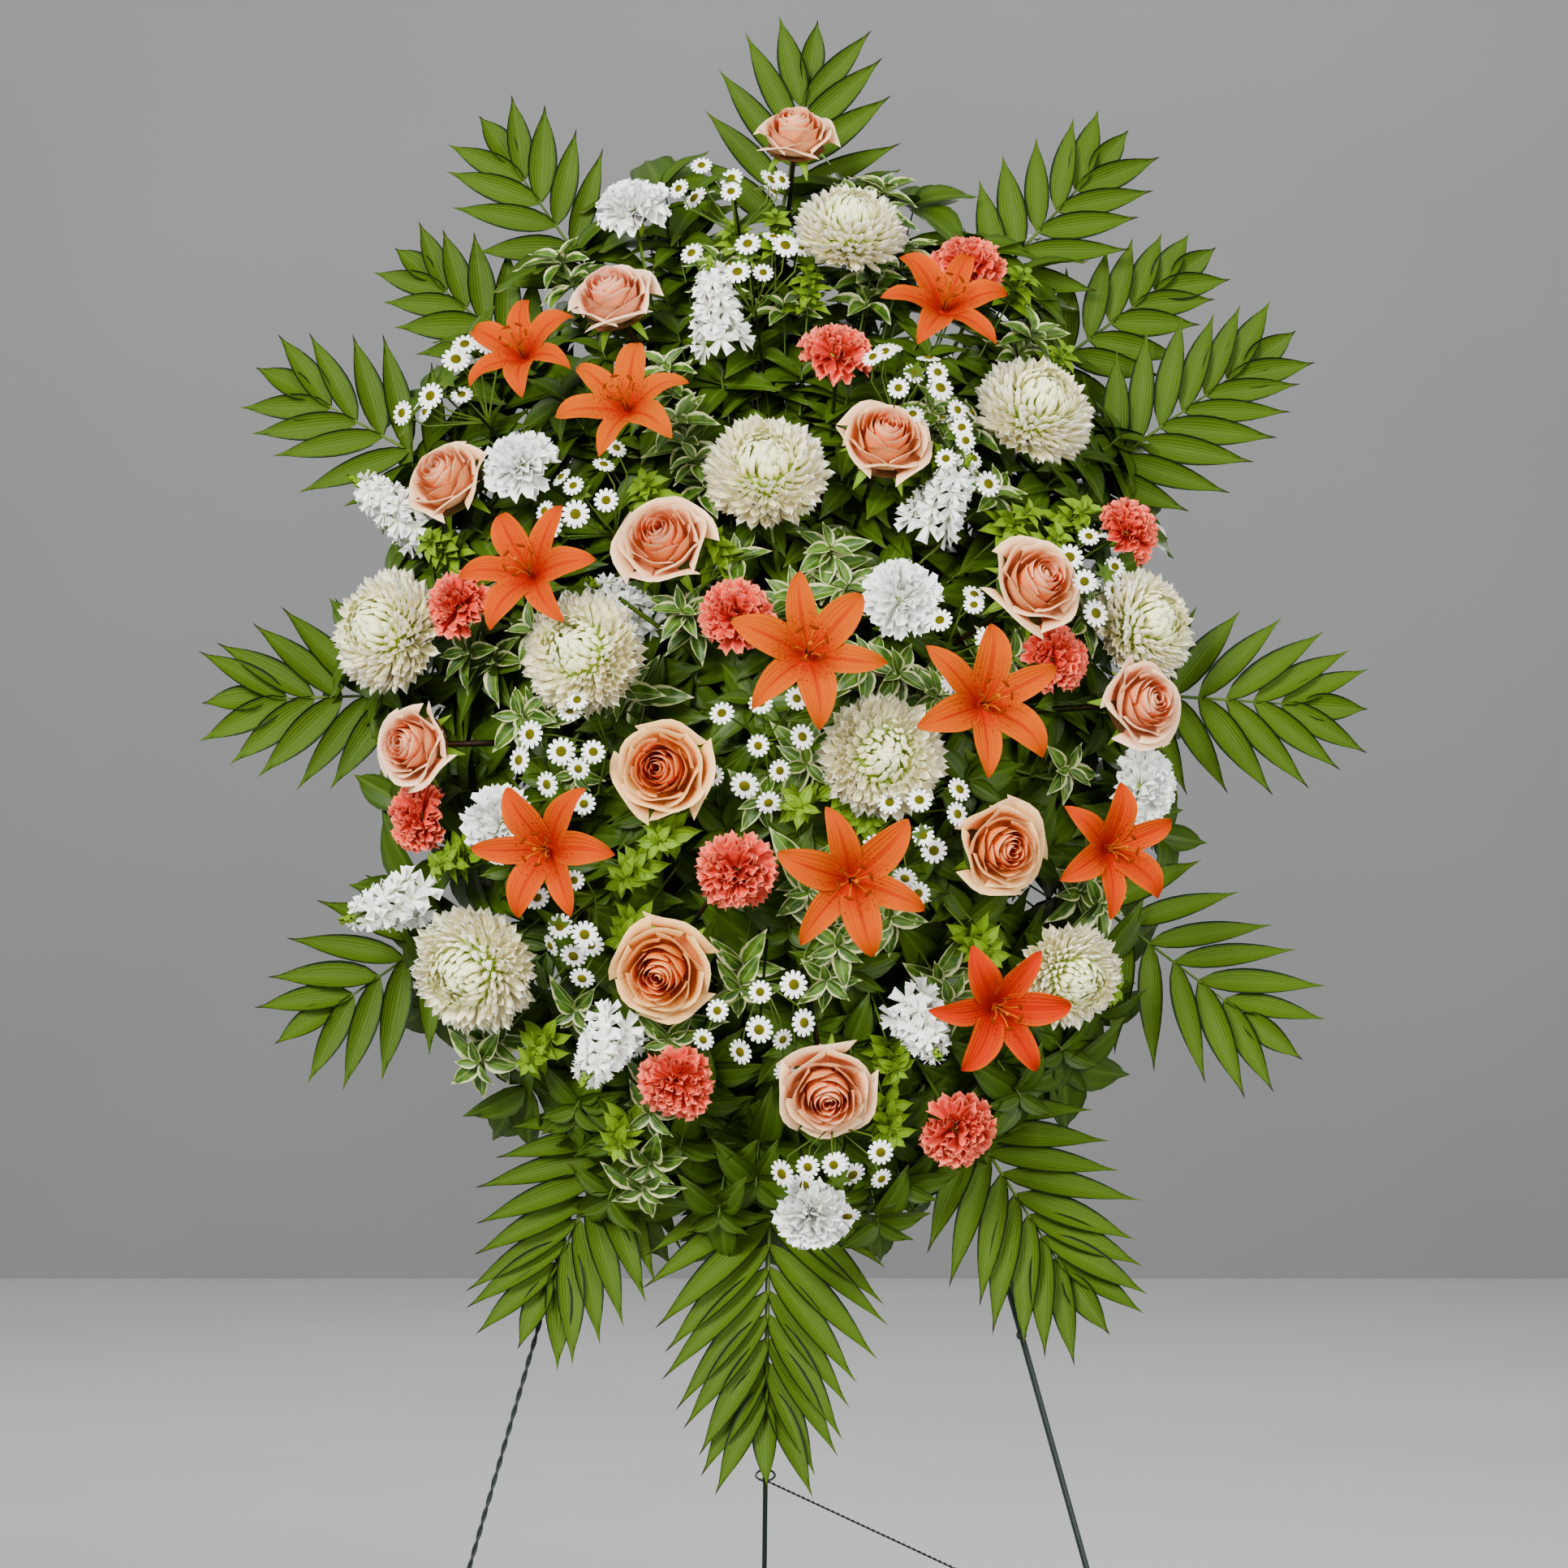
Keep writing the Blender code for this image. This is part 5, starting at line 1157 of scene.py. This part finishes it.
def make_flowers():
    groups_of = {}
    for number, flower in enumerate(FLOWERS):
        groups_of.setdefault(flower.node, []).append(number)
    for node, members in groups_of.items():
        kind = FLOWERS[members[0]].kind
        parts = [bare_stem(node, members, "rose_stem" if kind == "rose" else "stem")]
        pile = Pile()
        groups = [Seats(), Seats()]
        paths = []
        for m in members:
            size = HEADS[kind].radius * FLOWERS[m].size
            turn = head_turn(PLACES[m], kind, m * ROLL_STEP)
            tone = FLOWERS[m].tone
            if kind in SOLID_HEADS:
                SOLID_HEADS[kind](pile, turn, size, tone, m)
            elif kind in GROWN_HEADS:
                GROWN_HEADS[kind](pile, groups, turn, size, tone, m)
            elif kind == "daisy":
                add_daisies(*groups, paths, PLACES[m], m)
            else:
                way = head_turn(PLACES[m], kind, 0).to_3x3() @ UPWARD
                whorl(groups[0], PLACES[m], way, WHORL_LENGTH, m)
        if pile.count:
            parts.append(pile.mesh(node + "_heads", HEAD_LOOKS[kind]))
        spread, wobble = (0.0, 0.0) if kind == "daisy" else (0.08, 0.16)
        for k, (shape, look) in enumerate(HEAD_SHAPES[kind]):
            parts.append(groups[k].grow(f"{node}_{k}", shape, look, spread, wobble, members[0] + k))
        if paths:
            parts.append(stalks(node + "_stalks", paths, "stem", 4))
        together(node + "_flowers", parts, "stand", [node])


# Fronds and the leaves between the flowers

def foam_exit(root, towards):
    """How far a ray from the root runs before it leaves the foam."""
    way = (towards - root).normalized()
    start = root - FOAM_CENTRE
    reach = 1.0
    for axis, size in zip((RIGHTWARD, OUTWARD, ALONG), FOAM_SIZE):
        rate = way.dot(axis)
        if abs(rate) > 1e-6:
            half = size / 2 if rate > 0 else -size / 2
            reach = min(reach, (half - start.dot(axis)) / rate)
    return reach


def frond_seats(groups, index, start, tip, depth, length, tone, lower):
    """Folded leaflets down both sides of a rib, and one at its tip."""
    draw = np.random.default_rng(900 + index).uniform
    rib = tip - start
    along = rib.normalized()
    across = Vector((rib.y, -rib.x)).normalized()
    count = round(rib.length / (LOWER_SPACING if lower else LEAFLET_SPACING))
    hidden = HIDDEN_PAIRS if lower else 0
    for k in range(-hidden * 2, count * 2 + 1):
        share = min(1.0, (k // 2 + 0.3) / count)
        side = -1 if k % 2 else 1
        reach = length * (0.62 + 0.38 * math.sin(math.pi * (0.18 + 0.75 * share))) if share >= 0 else length
        lean = math.radians(66 - 44 * max(0.0, share))
        way = along * math.cos(lean) + across * side * math.sin(lean)
        base = start + rib * share
        if k == count * 2:
            base, way, reach = start + rib, along, length * 0.55
        end = base + way * reach * draw(*LEAFLET_LENGTHS)
        low = spot(base.x, base.y, depth + 0.001)
        high = spot(end.x, end.y, depth + LEAFLET_ARCH)
        facing = OUTWARD + Vector((side * across.x, 0, side * across.y)) * 0.25
        width = draw(*LEAFLET_WIDTHS)
        scale = ((high - low).length * 1.02, width, width)
        groups[k % 2].add(low, high - low, facing, scale, tone + draw(-0.25, 0.25))


def make_fronds():
    """Each palm frond has a rib from the foam that thins to its tip."""
    for index, (node, (start, tip, depth, length, tone)) in enumerate(FRONDS.items()):
        start = Vector(start)
        tip = Vector(tip)
        groups = [Seats(), Seats()]
        frond_seats(groups, index, start, tip, depth, length * LEAFLET_REACH, tone, "bottom" in node)
        seat = spot(start.x, start.y, depth)
        way = (seat - FROND_ROOT).normalized()
        path = [(FROND_ROOT + way * (foam_exit(FROND_ROOT, seat) - STEM_SINK), 0.002), (seat, 0.0018)]
        for share, thick in RIB_THICKNESS:
            place = start + (tip - start) * share
            path.append((spot(place.x, place.y, depth + 0.0006), thick))
        parts = [stalks(node + "_rib", [path], "stem", 6)]
        for k, shape in enumerate(("palm_leaflet_a", "palm_leaflet_b")):
            parts.append(groups[k].grow(f"{node}_{k}", shape, "palm", 0.03, 0.05, index))
        together(node + "_leaflets", parts, "stand", [node])


GAP_WIDTH = 0.35
GAP_HEIGHT = 0.46
GAP_TRIES = 6000


def gap_places(count, seed, clear, spacing):
    """Seeded places in the dome's outline, clear of the flower heads and of each other."""
    draw = np.random.default_rng(seed).uniform
    found = []
    taken = [(flower.x, flower.z, HEADS[flower.kind].radius * flower.size * clear) for flower in FLOWERS]
    for _ in range(GAP_TRIES):
        if len(found) == count:
            break
        reach = math.sqrt(draw(0.0, 1.0))
        angle = draw(0, math.tau)
        x = DOME_X + math.cos(angle) * reach * GAP_WIDTH
        z = DOME_Z + 0.01 + math.sin(angle) * reach * GAP_HEIGHT
        near = taken + [(a, b, spacing) for a, b in found]
        if not any(math.hypot(x - a, z - b) < room for a, b, room in near):
            found.append((x, z))
    return found


def foam_side(place):
    """Where a straight twig to the place leaves the foam."""
    return BLOOM_ROOT + ray_to(place) * (foam_exit(BLOOM_ROOT, place) + 0.0005)


def make_sprigs(name, shape, look, places, length, leaves, sink, step, tiers):
    """Leafy twigs that fill the gaps, with whorls one behind the other."""
    seats = Seats()
    paths = []
    for k, (x, z) in enumerate(places):
        place = spot(x, z, max(0.07, dome_depth(x, z) - sink))
        ray = ray_to(place)
        way = (ray + OUTWARD * 0.7).normalized()
        for tier in range(tiers):
            seat = place - ray * step * tier
            whorl(seats, seat, way, length * (1 + 0.15 * tier), k * 7 + tier, leaves)
        start = foam_side(place)
        paths.append([(start, 0.0014), (start.lerp(place, 0.5), 0.0014 * 0.85), (place, 0.0014 * 0.6)])
    parts = [stalks(name + "_twigs", paths, "stem", 4)]
    parts.append(seats.grow(name, shape, look, 0.12, 0.22, len(places)))
    together(name, parts, "stand")


FERNS = 72
FERN_SEED = 13
FERN_DEPTHS = (0.05, 0.165)
FERN_RIB = 0.0012
FERN_SPACING = 0.0075


def make_ferns(name):
    """Fern fronds that radiate from the foam behind the flowers."""
    draw = np.random.default_rng(FERN_SEED).uniform
    seats = Seats()
    paths = []
    sag = OUTWARD * -0.012
    for k in range(FERNS):
        angle = k * GOLDEN + draw(-0.2, 0.2)
        ring = math.sqrt((k + 0.5) / FERNS)
        x = DOME_X + math.cos(angle) * 0.335 * ring
        z = DOME_Z - 0.01 + math.sin(angle) * 0.46 * ring
        low, high = FERN_DEPTHS
        tip = spot(x, z, low + (high - low) * (1 - ring ** 2) * draw(0.75, 1.0))
        start = foam_side(tip)
        rib = [start.lerp(tip, share) + sag * math.sin(math.pi * share) for share in np.linspace(0, 1, 9)]
        paths.append([(place, FERN_RIB * (1 - 0.7 * n / 8)) for n, place in enumerate(rib)])
        away = (tip - start).normalized()
        side = away.cross(OUTWARD)
        side = RIGHTWARD if side.length < 0.2 else side.normalized()
        leaflets = int((tip - start).length / FERN_SPACING)
        for n in range(leaflets):
            share = 0.22 + 0.78 * (n + 0.5) / leaflets
            place = start.lerp(tip, share) + sag * math.sin(math.pi * share)
            reach = 0.05 * math.sin(math.pi * (0.3 + 0.68 * share)) + 0.01
            forward = side * (1 if n % 2 else -1) + away * 0.75 + OUTWARD * draw(-0.2, 0.25)
            seats.add(place, forward, OUTWARD, reach, draw(0.0, 1.0))
    parts = [stalks(name + "_ribs", paths, "stem", 4)]
    parts.append(seats.grow(name, "fern_leaflet", "fern", 0.15, 0.15, FERN_SEED))
    together(name, parts, "stand")


# Easel

SOLID_LOOKS = {
    "wire": ("front_leg_right", "rear_leg", "cross_wire_upper", "cross_wire_lower", "stay_ring"),
    "foam": ("foam_block",),
    "tray": ("foam_tray",),
}


def twisted(name, ends, wire, step, pitch):
    """Two wires laid round each other between two ends."""
    base = linked(name, plain_mesh(name, ends, [(0, 1)]))
    return TWIST.grown(name, base, Finish=LOOKS["wire"], Radius=wire / 2, Step=step, Pitch=pitch)


def dress_easel():
    """The easel's solids in their finishes, and the left leg as twisted wire with its eye."""
    for look, nodes in SOLID_LOOKS.items():
        for node in nodes:
            dress(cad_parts[node].data, look)
    eye = Vector((0, APEX_Y, APEX_HEIGHT)) + Vector((LEFT_EYE_X, 0, 0))
    foot = Vector((LEFT_FOOT_X, APEX_Y - FRONT_RUN, FOOT_HEIGHT))
    top = eye + (foot - eye).normalized() * EYE_RADIUS
    leg = twisted("leg_twist", [top, foot], LEFT_WIRE, 0.003, LEFT_PITCH)
    turns = [Vector((0, math.cos(a), math.sin(a))) * EYE_RADIUS for a in np.linspace(0, math.tau, 25)]
    loop = stalks("leg_eye", [[(eye + turn, LEFT_WIRE * 0.95) for turn in turns]], "wire", 8)
    together("left_leg_twisted_wire", [leg, loop], "stand", ["front_leg_left"])


def dress_stay():
    """The stay's two twisted wires, from its eye in the ring to beside the right leg."""
    low, high = middle_of("stay_wire")[:2]
    pivot = Vector((middle_of("stay_ring")[2].x, high.y - STAY_PIVOT_BACK, high.z - STAY_PIVOT_BACK))
    end = Vector((high.x - STAY_WIRE, low.y + STAY_WIRE, low.z + STAY_WIRE))
    way = (end - pivot).normalized()
    side = way.cross(Vector((0.87, 0.5, 0))).normalized()
    turns = [way * math.cos(a) + side * math.sin(a) for a in np.linspace(0, math.tau, 21)]
    line = twisted("stay_twist", [pivot + way * STAY_EYE, end], STAY_WIRE, 0.002, STAY_PITCH)
    loop = stalks("stay_eye", [[(pivot + turn * STAY_EYE, STAY_WIRE) for turn in turns]], "wire", 8)
    together("stay_twisted_wire", [line, loop], "stay", ["stay_wire"])


# The room round the object, the light and the camera

STAGE = {
    "floor": ([(-9, -8, 0), (9, -8, 0), (9, 9.25, 0), (-9, 9.25, 0)], 0.27),
    "backdrop": ([(-9, 9.25, 0), (9, 9.25, 0), (9, 9.25, 8), (-9, 9.25, 8)], 0.15),
}
# Each lamp: place, target, power, size
LAMPS = {
    "key_lamp": ((-2.2, -4.5, 3.4), (0, 0, 1.15), 620, 2.2),
    "fill_lamp": ((3.0, -4.5, 2.0), (0, 0, 1.1), 260, 2.5),
    "wall_lamp": ((0, 5.0, 4.5), (0, 9.25, 1.2), 420, 4.0),
    "back_lamp": ((1.6, 3.6, 3.0), (0, 0.1, 1.1), 170, 2.0),
}
ROOM_COLOUR = (0.95, 0.97, 1.0, 1.0)
ROOM_LIGHT = 0.75
CAMERA_LENS = 159.7
CAMERA_AWAY = 6.0
CAMERA_HEIGHT = 1.083


def make_stage():
    for name, (corners, grey) in STAGE.items():
        mesh = plain_mesh(name, corners, [], [(0, 1, 2, 3)])
        obj = linked(name, mesh)
        paint = Finish(name, 0.9)
        colour = paint.mix(paint.noise(0.9, 5.0), (grey * 0.9,) * 3, (grey * 1.1,) * 3)
        mesh.materials.append(paint.painted(colour))


def light_and_camera():
    world = bpy.data.worlds.new("soft_room")
    bpy.context.scene.world = world
    world.use_nodes = True
    sky = world.node_tree.nodes["Background"].inputs
    sky["Color"].default_value = ROOM_COLOUR
    sky["Strength"].default_value = ROOM_LIGHT
    for name, (place, target, power, size) in LAMPS.items():
        light = bpy.data.lights.new(name, "AREA")
        light.energy = power
        light.size = size
        lamp = linked(name, light)
        lamp.location = place
        lamp.rotation_euler = (Vector(target) - Vector(place)).to_track_quat("-Z", "Y").to_euler()
    camera = linked("camera", bpy.data.cameras.new("camera"))
    camera.data.sensor_width = 36.0
    camera.data.lens = CAMERA_LENS
    camera.location = (0, APEX_Y - CAMERA_AWAY, CAMERA_HEIGHT)
    camera.rotation_euler = (math.pi / 2, 0, 0)
    bpy.context.scene.camera = camera


light_and_camera()
make_stage()
make_flowers()
make_fronds()
gaps = gap_places(80, 11, 0.78, 0.026)
behind = gap_places(90, 12, 0.5, 0.03)
backing = gap_places(130, 15, 0.0, 0.042)
make_sprigs("variegated_sprigs", "oval_leaf", "variegated", gaps[:36], 0.036, 8, 0.03, 0.022, 2)
make_sprigs("dark_sprigs", "broad_leaf", "dark_leaf", behind, 0.05, 7, 0.058, 0.03, 3)
make_sprigs("bright_sprigs", "small_leaf", "bright_leaf", gaps[36:62], 0.02, 9, 0.016, 0.012, 3)
make_ferns("fern_backing")
make_sprigs("backing_leaves", "broad_leaf", "dark_leaf", backing, 0.078, 6, 0.105, 0.03, 1)
dress_easel()
dress_stay()
for shape in SHAPES.values():
    bpy.data.objects.remove(shape, do_unlink=True)
